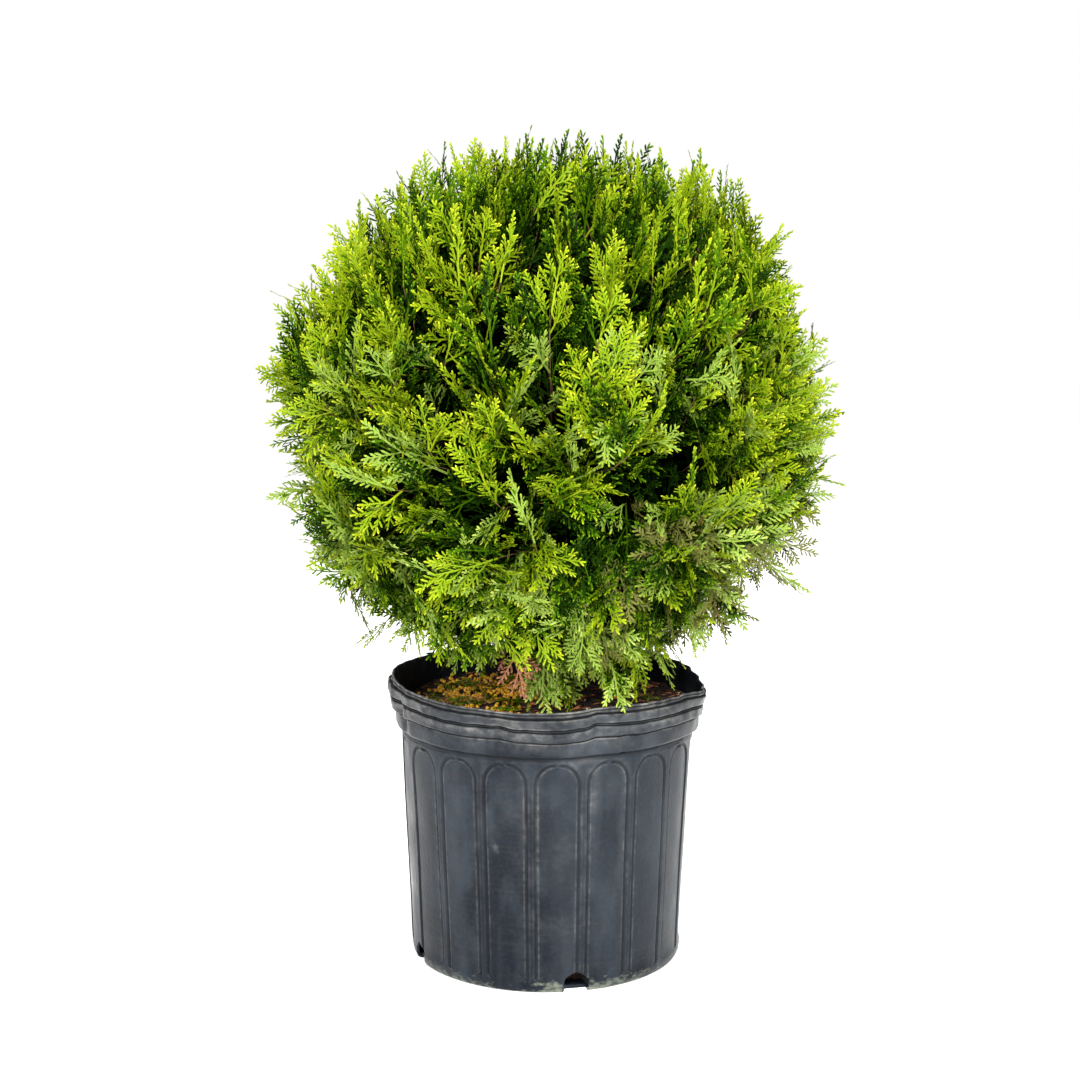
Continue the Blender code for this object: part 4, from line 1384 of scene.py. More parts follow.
def grain_object(name, subdivisions, squash, rough, seed):
    """A lumpy grain one unit across."""
    bm = bmesh.new()
    bmesh.ops.create_icosphere(bm, subdivisions=subdivisions, radius=0.5)
    rng = np.random.default_rng(seed)
    for vert in bm.verts:
        vert.co *= 1.0 + rough * float(rng.uniform(-1.0, 1.0))
        vert.co.x *= squash[0]
        vert.co.y *= squash[1]
        vert.co.z *= squash[2]
    mesh = mesh_from_bmesh(name, bm)
    mesh.shade_smooth()
    return link(bpy.data.objects.new(name, mesh))


def prill_bed(x, y):
    """Prills lie in a drift at the left of the stem."""
    drift = np.exp(-(((x + 0.052) / 0.036) ** 2) - ((y - 0.010) / 0.062) ** 2)
    return np.clip(drift * 1.5, 0.0, 1.0) + 0.012


def chip_bed(x, y):
    """Bark chips lie everywhere, thinner under the prills."""
    return np.clip(1.0 - 0.45 * prill_bed(x, y), 0.15, 1.0)


def even_bed(x, y):
    """An even bed."""
    return np.ones_like(x)


class Topping(NamedTuple):
    """One kind of grain that lies on the mix."""

    density: str
    share: float
    bed: Callable
    grain: tuple
    sizes: dict
    matter: tuple


# Each topping's density, share and bed, its grain's detail, squash, roughness and seed, and matter
TOPPINGS = {
    "bark_chips": Topping(
        "chip_density",
        1.0,
        chip_bed,
        (1, (1.0, 0.34, 0.20), 0.16, 3),
        {"Smallest": 0.0030, "Largest": 0.0095, "Tumble": 0.55, "Lift": 0.0004},
        ("dark_bark_chip", (0.003, 0.001, 0.001), (0.080, 0.026, 0.010), 300.0),
    ),
    "bark_shreds": Topping(
        "chip_density",
        0.16,
        even_bed,
        (1, (1.0, 0.12, 0.09), 0.14, 8),
        {"Smallest": 0.0060, "Largest": 0.0190, "Tumble": 0.35, "Lift": 0.0010},
        ("pale_bark_chip", (0.190, 0.058, 0.014), (0.600, 0.250, 0.085), 300.0),
    ),
    "prills": Topping(
        "prill_density",
        1.0,
        prill_bed,
        (2, (1.0, 1.0, 1.0), 0.02, 4),
        {"Smallest": 0.0030, "Largest": 0.0039, "Tumble": 1.5, "Lift": 0.0014},
        ("fertiliser_prill", (0.520, 0.195, 0.006), (0.900, 0.520, 0.036), 260.0, 0.24),
    ),
    "perlite_grains": Topping(
        "grit_density",
        1.0,
        even_bed,
        (1, (1.0, 0.85, 0.8), 0.16, 6),
        {"Smallest": 0.0016, "Largest": 0.0036, "Tumble": 1.5, "Lift": 0.0010},
        ("perlite", (0.520, 0.500, 0.470), (0.760, 0.740, 0.700), 700.0),
    ),
}


class ARBORVITAE_OT_topping(bpy.types.Operator):
    """Strew bark chips, fertiliser prills and perlite over the mix"""

    bl_idname = "arborvitae.topping"
    bl_label = "Topping"

    def execute(self, context):
        settings = context.scene.arborvitae_mix
        tree = topping_tree()
        for number, (name, topping) in enumerate(TOPPINGS.items()):
            density = getattr(settings, topping.density) * topping.share
            values = {"Density": density, "Seed": settings.seed + number, **topping.sizes}
            bed = topping_bed(name + "_bed", topping.bed)
            grain = grain_object(name + "_grain", *topping.grain)
            strew(name, tree, bed, grain, values, earthy(*topping.matter))
        return {"FINISHED"}


# Stem, boughs and the rule of the crown


def stem_axis(height):
    """Point on the stem's leaning axis at a height."""
    share = max(0.0, (height - SOIL_Z) / (STEM_TIP_Z - SOIL_Z))
    lean = STEM_LEAN * math.sin(math.pi * share) ** 2
    return Vector((lean, -STEM_LEAN_FRONT * lean, height))


def stem_radius(height):
    """Radius of the stem at a height, with the root flare at its foot."""
    share = (height - SOIL_Z) / (STEM_TIP_Z - SOIL_Z)
    flare = FLARE_R * max(0.0, 1.0 - (height - SOIL_Z) / FLARE_HEIGHT) ** 2
    return STEM_FOOT_R + (STEM_TIP_R - STEM_FOOT_R) * share + flare


def hermite(start, start_pull, end, end_pull, share):
    """Point on a smooth curve between two points with a pull at each."""
    s2 = share * share
    s3 = s2 * share
    return (
        start * (2 * s3 - 3 * s2 + 1)
        + start_pull * (s3 - 2 * s2 + share)
        + end * (3 * s2 - 2 * s3)
        + end_pull * (s3 - s2)
    )


def globe_share(point):
    """One on the globe's surface, less inside it and more outside it."""
    offset = point - GLOBE_CENTRE
    level = math.hypot(offset.x, offset.y) / GLOBE_R
    rise = abs(offset.z) / (GLOBE_TOP if offset.z > 0.0 else GLOBE_R)
    power = GLOBE_UPPER_POWER if offset.z > 0.0 else GLOBE_LOWER_POWER
    return (level**power + rise**power) ** (1.0 / power)


def crown_share(point):
    """Like globe_share, for the crown with the swells of its outline."""
    ray = (point - GLOBE_CENTRE).normalized()
    return globe_share(point) / outline_swell(ray)


def outline_swell(ray):
    """How far the crown swells along a ray, fading where the photo can't show it."""
    swell = float(periodic(OUTLINE_SWELL, math.degrees(math.atan2(ray.z, ray.x))))
    return 1.0 + (swell - 1.0) * (1.0 - ray.y * ray.y)


def reach(direction):
    """Distance from the heart along a direction to the globe's surface."""
    near, far = 0.0, REACH_LIMIT
    for _ in range(REACH_HALVINGS):
        middle = 0.5 * (near + far)
        if globe_share(HEART + direction * middle) < 1.0:
            near = middle
        else:
            far = middle
    return near


def globe_point(bearing, elevation):
    """Point on the globe's surface at a bearing and elevation seen from its centre."""
    level = math.cos(elevation)
    ray = Vector((level * math.cos(bearing), level * math.sin(bearing), math.sin(elevation)))
    return GLOBE_CENTRE + ray / globe_share(GLOBE_CENTRE + ray)


class Mass(NamedTuple):
    """One mass of foliage: its place in its ring, and its direction seen from the heart."""

    name: str
    ring: str
    place: int
    count: int
    direction: Vector


def crown_masses():
    """Every mass of the crown, ring by ring."""
    masses = []
    for ring, count, elevation, turn in RINGS:
        for place in range(count):
            bearing = math.tau * (place + turn) / count
            target = globe_point(bearing, math.radians(elevation))
            name = ring if count == 1 else f"{ring}_{place + 1}"
            masses.append(Mass(name, ring, place, count, (target - HEART).normalized()))
    return masses


def limb_level(ring, place, count):
    """Height at which a ring's limb leaves the stem."""
    if ring == "foot":
        return FOOT_LEVEL + FOOT_LEVEL_STEP * (place % 2)
    return BOUGH_LEVELS[ring] + BOUGH_LEVEL_STEP * (2 * place % count)


def bough_path(direction, level, points):
    """A bough's axis: level where it leaves the stem, then turning to its mass."""
    bearing = Vector((direction.x, direction.y, 0.0)).normalized()
    butt = stem_axis(level) + bearing * (stem_radius(level - BOUGH_BUTT_R) - LIMB_SINK)
    start = butt + bearing * BOUGH_END_RUN
    tip = HEART + direction * BOUGH_REACH
    end = tip - direction * BOUGH_END_RUN
    pull = (end - start).length
    path = [butt]
    for step in range(points - 2):
        share = step / (points - 3)
        path.append(hermite(start, bearing * pull * BOUGH_PULL, end, direction * pull, share))
    return path + [tip]


def spread_directions(count):
    """Directions spread evenly over a ball along a golden spiral."""
    golden = math.pi * (3.0 - math.sqrt(5.0))
    rays = []
    for index in range(count):
        rise = 1.0 - 2.0 * (index + 0.5) / count
        level = math.sqrt(1.0 - rise * rise)
        rays.append(Vector((level * math.cos(golden * index), level * math.sin(golden * index), rise)))
    return rays


def owner(direction, masses):
    """Index of the mass whose direction lies nearest."""
    return max(range(len(masses)), key=lambda i: direction.dot(masses[i].direction))


def limb_tree():
    """Geometry nodes that sweep a round section along paths and raise the bark's ridges."""
    tree, graph, source = new_group("grow_limbs", [("Sides", "Int"), ("Relief", "Float")])
    girth = graph.named_value("girth")
    curve = graph.add("GeometryNodeMeshToCurve", {"Mesh": source["Geometry"]}).outputs["Curve"]
    curve = graph.add("GeometryNodeSetCurveRadius", {"Curve": curve, "Radius": girth}).outputs["Curve"]
    inputs = {"Radius": 1.0, "Resolution": source["Sides"]}
    section = graph.add("GeometryNodeCurvePrimitiveCircle", inputs).outputs["Curve"]
    inputs = {"Curve": curve, "Profile Curve": section, "Fill Caps": True}
    sweep = graph.add("GeometryNodeCurveToMesh", inputs)
    if "Scale" in sweep.inputs:
        graph.fill(sweep.inputs["Scale"], girth)

    place = graph.add("GeometryNodeInputPosition").outputs["Position"]
    inputs = {0: place, 1: (1.0, 1.0, 0.16)}
    place = graph.add("ShaderNodeVectorMath", inputs, operation="MULTIPLY").outputs["Vector"]
    ridges = graph.add("ShaderNodeTexNoise", {"Vector": place, "Scale": 240.0, "Detail": 3.0})
    height = graph.maths("SUBTRACT", ridges.outputs[0], 0.55)
    height = graph.maths("MULTIPLY", height, source["Relief"])
    normal = graph.add("GeometryNodeInputNormal").outputs["Normal"]
    inputs = {0: normal, "Scale": height}
    push = graph.add("ShaderNodeVectorMath", inputs, operation="SCALE").outputs["Vector"]
    inputs = {"Geometry": sweep.outputs["Mesh"], "Offset": push}
    moved = graph.add("GeometryNodeSetPosition", inputs).outputs["Geometry"]
    end_group(graph, moved, source["Material"])
    return tree


def swept_limbs(name, paths, sides, relief, tree, material):
    """Limbs swept along paths of (point, radius) pairs, as one plain mesh."""
    verts = []
    edges = []
    girths = []
    for path in paths:
        first = len(verts)
        for point, radius in path:
            verts.append(tuple(point))
            girths.append(radius)
        edges += [(first + i, first + i + 1) for i in range(len(path) - 1)]
    mesh = bpy.data.meshes.new(name + "_paths")
    mesh.from_pydata(verts, edges, [])
    carry_values(mesh, "girth", girths)
    guide = link(bpy.data.objects.new(name + "_paths", mesh))
    values = {"Sides": sides, "Relief": relief, "Material": material}
    grown = grown_mesh(name, guide, tree, values)
    turn_outwards(grown, WELD)
    return link(bpy.data.objects.new(name, grown))


class ARBORVITAE_OT_limbs(bpy.types.Operator):
    """Grow the stem and the boughs with their bark"""

    bl_idname = "arborvitae.limbs"
    bl_label = "Stem and boughs"

    def execute(self, context):
        settings = context.scene.arborvitae_limbs
        tree = limb_tree()
        bark = fibrous_bark(settings)
        foot = SOIL_Z - 0.004
        path = []
        for step in range(STEM_ROWS + 1):
            height = foot + (STEM_TIP_Z - foot) * step / STEM_ROWS
            path.append((stem_axis(height), stem_radius(max(height, SOIL_Z)) * 0.97))
        stem = swept_limbs("stem", [path], STEM_SIDES, settings.relief * 2.0, tree, bark)
        finish_piece(stem, "root", ["trunk"], [bark])
        paths = []
        replaced = []
        for name, ring, place, count, direction in crown_masses():
            if ring not in BOUGH_LEVELS:
                continue
            points = bough_path(direction, limb_level(ring, place, count), BOUGH_POINTS)
            radii = np.linspace(BOUGH_BUTT_R, BOUGH_TIP_R, len(points))
            paths.append(list(zip(points, radii)))
            replaced.append("bough_" + name)
        boughs = swept_limbs("boughs", paths, BOUGH_SIDES, settings.relief, tree, bark)
        finish_piece(boughs, "root", replaced, [bark])
        return {"FINISHED"}


# Fronds: flat fans of branchlets with scale-leaf fingers


def point_along(start, turn, distance, rise):
    """Point at a distance from a start, along a heading in the frond's plane and a rise out of it."""
    x, y, z = start
    return (x + distance * math.cos(turn), y + distance * math.sin(turn), z + rise * distance)


class FrondShape:
    """One flat frond, lying in the XY plane with its root at the origin and its axis along X."""

    def __init__(self, rng, kind):
        self.rng = rng
        self.kind = kind
        self.verts = []
        self.corners = []
        self.counts = []
        self.tones = []

    def blade(self, start, heading, length, widths, stations, rise, curl, tones, tilt=0.0):
        """A narrow blade that follows a heading, given by its half widths at stations."""
        first = len(self.verts)
        flat = math.cos(tilt)
        lift = math.sin(tilt)
        for station, width in zip(stations, widths):
            turn = heading + curl * station
            x, y, z = point_along(start, turn, station * length, rise)
            if width == 0.0:
                self.verts.append((x, y, z))
                continue
            aside_x = -math.sin(turn) * width * flat
            aside_y = math.cos(turn) * width * flat
            aside_z = width * lift
            self.verts.append((x - aside_x, y - aside_y, z - aside_z))
            self.verts.append((x + aside_x, y + aside_y, z + aside_z))
        for span in range(len(stations) - 1):
            low = first + 2 * span
            if widths[span + 1] == 0.0:
                self.corners += [low, low + 2, low + 1]
                self.counts.append(3)
            else:
                self.corners += [low, low + 2, low + 3, low + 1]
                self.counts.append(4)
            self.tones.append(tones[span])

    def finger(self, start, heading, length, outer, lean=0.0):
        """One finger of scale leaves, widest near its blunt end, with a young tip."""
        rng = self.rng
        width = self.kind.half_width * rng.uniform(0.95, 1.15)
        rise = rng.uniform(-0.16, 0.16)
        tilt = rng.uniform(-0.55, 0.55)
        curl = rng.uniform(-0.16, 0.10) * math.copysign(1.0, lean)
        tones = pick(outer, FINGER_TONES)
        if self.kind.has_tips:
            widths = (0.76 * width, width, 0.0)
            self.blade(start, heading, length, widths, (0.0, 0.76, 1.06), rise, curl, tones, tilt)
        else:
            widths = (0.75 * width, width)
            self.blade(start, heading, length, widths, (0.0, 1.0), rise, curl, tones, tilt)

    def branchlet(self, start, heading, length, side, share):
        """A branchlet with fingers on both sides, and one at its end."""
        rng = self.rng
        kind = self.kind
        curl = -side * rng.uniform(0.05, 0.34)
        rise = rng.uniform(-0.12, 0.12)
        widths = (0.80 * kind.half_width, 0.55 * kind.half_width)
        tone = STEM_TONE if share < 0.6 else BODY_TONE
        tilt = rng.uniform(-0.45, 0.45)
        self.blade(start, heading, 0.94 * length, widths, (0.0, 1.0), rise, curl, (tone,), tilt)
        finger_side = -side
        step = kind.gap * rng.uniform(0.75, 1.05)
        while step < length - 0.35 * kind.gap:
            local = step / length
            turn = heading + curl * local
            root = point_along(start, turn, step, rise)
            opening = min(1.0, 0.55 + 2.2 * local)
            size = kind.finger * opening * (1.0 - 0.50 * local) * rng.uniform(0.90, 1.08)
            lean = finger_side * math.radians(rng.uniform(0.90, 1.08) * kind.lean)
            outer = 0.58 * local + 0.28 * share + rng.uniform(-0.18, 0.18)
            self.finger(root, turn + lean, size, outer, lean)
            finger_side = -finger_side
            step += 0.5 * kind.gap * rng.uniform(0.94, 1.06)
        turn = heading + curl * 0.9
        root = point_along(start, turn, 0.9 * length, rise)
        self.finger(root, turn, 0.60 * kind.finger, 0.62 + 0.3 * share)


def frond_shape(rng, kind):
    """Arrays of a flat frond: an axis, branchlets on both sides in turn, and their fingers."""
    shape = FrondShape(rng, kind)
    sway = rng.uniform(-0.20, 0.20)
    half = kind.half_width
    widths = (half, 0.95 * half, 0.85 * half, 0.60 * half)
    tones = (STEM_TONE, STEM_TONE, BODY_TONE)
    origin = (0.0, 0.0, 0.0)
    shape.blade(origin, -0.5 * sway, kind.length, widths, (0.0, 0.30, 0.55, 0.80), 0.0, sway, tones)
    side = 1 if rng.uniform() < 0.5 else -1
    for number in range(kind.branchlets + 1):
        is_last = number == kind.branchlets
        share = min(1.0, (number + 0.5 + rng.uniform(-0.16, 0.16)) / kind.branchlets)
        along = kind.length * (0.66 if is_last else 0.08 + 0.58 * share)
        turn = -0.5 * sway + sway * along / kind.length
        root = (along * math.cos(turn), along * math.sin(turn), 0.0)
        fullness = min(1.0, 0.66 + 1.5 * share) * (1.0 - 0.42 * share)
        length = kind.longest * fullness * rng.uniform(0.84, 1.12)
        lean = side * math.radians(rng.uniform(0.90, 1.14) * kind.lean)
        if is_last:
            length = 0.36 * kind.length
            lean = 0.0
        shape.branchlet(root, turn + lean, length, side, 0.35 + 0.65 * share)
        side = -side
    return (
        np.array(shape.verts, float),
        np.array(shape.corners),
        np.array(shape.counts),
        np.array(shape.tones),
    )


def frond_shapes(seed):
    """Every kind of frond, in a few variations."""
    rng = np.random.default_rng(seed)
    return {
        name: [frond_shape(rng, kind) for _ in range(FROND_VARIATIONS)]
        for name, kind in FROND_KINDS.items()
    }


class FrondBed:
    """Fronds waiting to be laid into one mass's mesh."""

    def __init__(self):
        self.items = {}

    def add(self, rng, kind, root, axis, normal, size, bend, colours):
        """Note one frond: where its root lies, how it points and lies, and its colours."""
        side = np.cross(normal, axis)
        side /= np.linalg.norm(side) + 1e-9
        upright = np.cross(axis, side)
        turn = np.stack([axis, side, upright])
        index = int(rng.integers(FROND_VARIATIONS))
        cup = rng.uniform(-0.7, 0.7)
        self.items.setdefault((kind, index), []).append((turn, root, size, bend, cup, colours))


def laid_fronds(bed, shapes):
    """All fronds of a bed as arrays, with those that would leave the object's box drawn in."""
    sheaf = Sheaf()
    for (kind, index), items in sorted(bed.items.items(), key=lambda item: item[0]):
        length = FROND_KINDS[kind].length
        verts, corners, counts, tones = shapes[kind][index]
        turns, roots, sizes, bends, cups, colours = map(np.array, zip(*items))
        sizes = sizes[:, None]
        bends = np.where(np.abs(bends) < LEAST_BEND, LEAST_BEND, bends)[:, None]
        x, y, z = verts.T[:, None, :]
        z = (z + cups[:, None] * y**2 / length) * sizes
        y = y * sizes
        phi = bends * x / length
        radius = length * sizes / bends
        bent_x = (radius - z) * np.sin(phi)
        bent_z = radius - (radius - z) * np.cos(phi)
        local = np.stack([bent_x, y, bent_z], axis=-1)
        world = np.einsum("mvk,mkj->mvj", local, turns) + roots[:, None, :]
        low = world.min(axis=1)
        high = world.max(axis=1)
        push = np.maximum(CAD_LOW + BOX_MARGIN - low, 0.0)
        push -= np.maximum(high - CAD_HIGH + BOX_MARGIN, 0.0)
        world += push[:, None, :]
        copies = len(items)
        offsets = np.arange(copies)[:, None] * len(verts)
        sheaf.add(
            world.reshape(-1, 3),
            (corners[None, :] + offsets).ravel(),
            np.tile(counts, copies),
            colours[:, tones].ravel(),
        )
    return sheaf


def unit_vector(vector):
    """A vector of length one."""
    return vector / (np.linalg.norm(vector) + 1e-9)


def turned_about(vector, axis, angle):
    """Turn a vector about an axis."""
    return (
        vector * math.cos(angle)
        + np.cross(axis, vector) * math.sin(angle)
        + axis * np.dot(axis, vector) * (1.0 - math.cos(angle))
    )


def lumpiness(ray):
    """How far the crown swells or sinks along a ray from its centre, from minus one to one."""
    x, y, z = ray
    broad = math.sin(6.1 * x + 1.7) * math.sin(5.3 * z + 0.4) + math.sin(6.7 * y - 5.1 * z + 2.2)
    fine = math.sin(13.0 * x - 4.0 * y + 0.9) * math.sin(12.0 * z + 9.0 * y)
    return 0.36 * broad + 0.28 * fine


def frond_colours(rng, place, depth):
    """Colours of a frond's stem, inner, body, young and tip tones, darkened as painted shade by its
    depth, and by its place.
    """
    rise = (place[2] - GLOBE_CENTRE.z) / GLOBE_R
    if rise > TOP_RISE:
        depth += LIT_TOP_SHIFT
    chance = rng.uniform()
    for limit, shaded, colours in SHADE_ZONES:
        if depth < limit and chance < shaded:
            return pick(chance, colours)
    chance = rng.uniform()
    is_dry = place[0] > DRY_SIDE_X and rise < DRY_RISE and chance < DRY_COLOURS[-1][0]
    if is_dry:
        return pick(chance, DRY_COLOURS)
    if rise < LOW_RISE:
        return pick(chance, LOW_COLOURS)
    return pick(chance, TOP_COLOURS if rise > TOP_RISE else MIDDLE_COLOURS)


def pick(chance, choices):
    """The first choice whose share covers the chance."""
    for share, value in choices:
        if chance <= share:
            return value
    return choices[-1][1]


def plume_heading(rng, target, mass_direction, ring):
    """Which way a plume points at its tip, and the outward normal of the globe there."""
    normal = unit_vector(np.array(target - GLOBE_CENTRE))
    rise = normal[2]
    up_along = UP - normal * rise
    up_along = up_along / (np.linalg.norm(up_along) + 0.15)
    away = np.array(target - (HEART + mass_direction * reach(mass_direction)))
    away = away - normal * np.dot(away, normal)
    spread = min(1.0, np.linalg.norm(away) / 0.08)
    away = unit_vector(away)
    stray = rng.normal(size=3)
    stray = unit_vector(stray - normal * np.dot(stray, normal))
    lift = FOOT_LIFT if ring == "foot" else float(np.interp(rise, *LIFT_BY_RISE))
    along = up_along * lift * rng.uniform(0.6, 1.3) + away * 0.28 * spread
    along = along + stray * rng.uniform(0.05, 0.62)
    heading = unit_vector((0.42 + 0.50 * max(0.0, rise)) * normal + along)
    if rise > TOP_RISE:
        heading = unit_vector(heading + UPRIGHT_PULL * UP)
    return heading, normal


def point_on_path(path, walked, distance):
    """Point on a path at a distance walked along it."""
    return np.array([np.interp(distance, walked, path[:, axis]) for axis in range(3)])


def grow_plume(
    rng, bed, twigs, start, start_pull, target, heading, normal, tip_kind, colours=None, edge_share=None
):
    """One plume: a curved twig with a frond at its tip and fronds on both sides below it."""
    size = rng.uniform(*TIP_SIZES)
    tip_length = FROND_KINDS[tip_kind].length
    end = np.array(target) - heading * tip_length * 0.92 * size
    start = np.array(start)
    run = np.linalg.norm(end - start)
    pulls = (np.array(start_pull) * run, heading * run * 0.9)
    path = []
    for step in range(PLUME_STEPS + 1):
        path.append(hermite(start, pulls[0], end, pulls[1], step / PLUME_STEPS))
    path = np.array(path)
    twigs.append((path, TWIG_BUTT_R, TWIG_TIP_R))
    facing = normal - heading * np.dot(normal, heading)
    level = np.cross(heading, UP)
    base = unit_vector(facing) if np.linalg.norm(facing) > 0.35 else unit_vector(level)
    if edge_share is None:
        edge_share = float(np.interp(normal[2], *EDGE_SHARE_BY_RISE))
    roll = rng.normal(0.0, TIP_ROLL) + (0.5 * math.pi if rng.uniform() < edge_share else 0.0)
    plane = turned_about(base, heading, roll)
    tip_colours = colours or frond_colours(rng, target, max(0.97, crown_share(Vector(target))))
    bed.add(rng, tip_kind, end, heading, plane, size, rng.normal(0.0, BEND_SPREAD), tip_colours)
    lengths = np.linalg.norm(np.diff(path, axis=0), axis=1)
    total = lengths.sum()
    walked = np.concatenate(([0.0], np.cumsum(lengths)))
    side = 1.0 if rng.uniform() < 0.5 else -1.0
    back = FROND_SPACING * rng.uniform(0.1, 0.6)
    while back < total - BARE_ROOT:
        place = point_on_path(path, walked, total - back)
        ahead = point_on_path(path, walked, total - back + LOOK_AHEAD)
        tangent = unit_vector(ahead - place)
        flat = unit_vector(plane - tangent * np.dot(plane, tangent))
        flat = turned_about(flat, tangent, rng.normal(0.0, SIDE_ROLL))
        out = unit_vector(np.cross(flat, tangent)) * side
        lean = math.radians(rng.uniform(*SIDE_LEANS))
        axis = unit_vector(tangent * math.cos(lean) + out * math.sin(lean))
        tilt = turned_about(flat, axis, rng.normal(0.0, SIDE_TILT))
        size = rng.uniform(*SIDE_SIZES)
        tip_place = place + axis * FROND_KINDS["short"].length * size
        depth = crown_share(Vector(tip_place))
        fine = depth > FINE_DEPTH
        side_colours = colours or frond_colours(rng, tip_place, depth)
        kind = "short" if fine else "plain"
        bend = rng.normal(0.1, BEND_SPREAD)
        bed.add(rng, kind, place, axis, tilt, size, bend, side_colours)
        side = -side
        back += (FROND_SPACING if fine else INNER_SPACING) * rng.uniform(0.85, 1.15)


def mass_stems(masses, twigs):
    """Start and fork of the stem of each mass, which goes on from its bough's tip."""
    stems = []
    for name, ring, place, count, direction in masses:
        if ring == "foot":
            level = limb_level(ring, place, count)
            pull = Vector((direction.x, direction.y, 0.0)).normalized()
            start = stem_axis(level) + pull * (stem_radius(level) - LIMB_SINK)
            fork = HEART + direction * reach(direction) * FOOT_STEM_SHARE
        else:
            pull = direction
            start = HEART + direction * (BOUGH_REACH - LIMB_SINK)
            fork = HEART + direction * reach(direction) * FORK_SHARE
        stems.append((start, fork))
        run = (fork - start).length
        path = []
        for step in range(PLUME_STEPS + 1):
            path.append(hermite(start, pull * run, fork, direction * run, step / PLUME_STEPS))
        twigs.append((np.array(path), BOUGH_TIP_R, MASS_STEM_TIP_R))
    return stems


def fill_heart(rng, count, masses, beds):
    """Fronds in the near black of painted shade inside the crown, lying across the view from every
    side.
    """
    for ray in spread_directions(count):
        full = reach(ray)
        index = owner(ray, masses)
        if masses[index].ring == "foot" and ray.z < -0.75:
            continue
        radial = np.array(ray)
        root = np.array(HEART) + radial * full * rng.uniform(*HEART_SHARES)
        stray = rng.normal(size=3)
        across = unit_vector(stray - radial * np.dot(stray, radial))
        axis = unit_vector(across + radial * rng.uniform(0.0, 0.7))
        tilt = unit_vector(radial + 0.5 * rng.normal(size=3))
        root = root - axis * 0.03
        beds[index].add(rng, "broad", root, axis, tilt, rng.uniform(0.85, 1.1), 0.25, DEEP_SHADE)


def crest_tips(rng):
    """Tips of slim upright shoots that stand out of the top of the crown, all round it."""
    tips = []
    for number in range(CREST_SHOOTS):
        bearing = math.tau * (number + rng.uniform(-0.3, 0.3)) / CREST_SHOOTS
        elevation = math.radians(rng.uniform(*CREST_ELEVATIONS))
        point = globe_point(bearing, elevation)
        ray = (point - GLOBE_CENTRE).normalized()
        share = outline_swell(ray) * rng.uniform(*CREST_SHARES)
        tips.append((*(GLOBE_CENTRE + (point - GLOBE_CENTRE) * share), "slim"))
    return tips


def crown_plumes(settings):
    """Grow every mass: its stem, its twigs and its fronds."""
    rng = np.random.default_rng(settings.seed)
    masses = crown_masses()
    beds = [FrondBed() for _ in masses]
    twigs = []
    stems = mass_stems(masses, twigs)
    fill_heart(rng, settings.inner_fronds, masses, beds)
    for ray in spread_directions(settings.plumes):
        jitter = Vector([float(v) for v in rng.normal(0.0, PLUME_JITTER, 3)])
        ray = (ray + jitter).normalized()
        surface = GLOBE_CENTRE + ray / globe_share(GLOBE_CENTRE + ray)
        share = 0.985 + 0.040 * lumpiness(ray) + rng.uniform(-0.035, 0.030)
        is_shoot = rng.uniform() < SHOOT_SHARE
        if is_shoot:
            share = rng.uniform(*SHOOT_SHARES)
        share = min(share, SHOOT_SHARES[1])
        target = GLOBE_CENTRE + (surface - GLOBE_CENTRE) * share * outline_swell(ray)
        index = owner((target - HEART).normalized(), masses)
        _, ring, _, _, direction = masses[index]
        is_under_foot = ring == "foot" and math.hypot(target.x, target.y) < FOOT_CLEAR_R
        if target.z < LOWEST_TIP_Z or is_under_foot:
            continue
        is_sparse = ray.x > 0.50 and -0.80 < ray.z < -0.35
        if is_sparse and rng.uniform() < SPARSE_SKIP:
            continue
        start, fork = stems[index]
        heading, normal = plume_heading(rng, target, direction, ring)
        slim_share = UPPER_SLIM_SHARE if ray.z > 0.2 else LOWER_SLIM_SHARE
        if is_shoot or rng.uniform() < slim_share:
            tip_kind = "slim"
        else:
            tip_kind = "long" if rng.uniform() < LONG_SHARE else "short"
        root = start.lerp(fork, float(rng.uniform(*PLUME_ROOT_SHARES)))
        grow_plume(rng, beds[index], twigs, root, direction, target, heading, normal, tip_kind)
    for x, y, z, kind in (*STRAY_TIPS, *crest_tips(rng)):
        target = Vector((x, y, z))
        index = owner((target - HEART).normalized(), masses)
        fork = stems[index][1]
        direction = masses[index].direction
        normal = unit_vector(np.array(target - GLOBE_CENTRE))
        upright = UP * (UPRIGHT_PULL * max(0.0, normal[2]))
        heading = unit_vector(normal + upright + rng.normal(0.0, STRAY_SPREAD, 3))
        grow_plume(rng, beds[index], twigs, fork, direction, target, heading, normal, kind)
    return masses, beds, twigs


def tube(sheaf, path, start_r, end_r, sides):
    """A tapering twig along a path, closed at both ends."""
    count = len(path)
    tangents = np.gradient(path, axis=0)
    tangents /= np.linalg.norm(tangents, axis=1)[:, None] + 1e-9
    guide = np.array([0.31, 0.84, 0.44])
    first = np.cross(tangents, guide)
    first /= np.linalg.norm(first, axis=1)[:, None] + 1e-9
    second = np.cross(tangents, first)
    turn = math.tau * np.arange(sides) / sides
    radii = np.linspace(start_r, end_r, count)[:, None, None]
    ring = (
        first[:, None, :] * np.cos(turn)[None, :, None]
        + second[:, None, :] * np.sin(turn)[None, :, None]
    )
    verts = (path[:, None, :] + ring * radii).reshape(-1, 3)
    corners, counts = grid_faces(count, sides)
    start_cap = np.arange(sides)[::-1]
    end_cap = np.arange(sides) + (count - 1) * sides
    corners = np.concatenate((corners, start_cap, end_cap))
    counts = np.concatenate((counts, [sides, sides]))
    sheaf.add(verts, corners, counts)


def sheaf_object(name, sheaf):
    """An object with everything that a sheaf has gathered."""
    return link(bpy.data.objects.new(name, sheaf.mesh(name)))


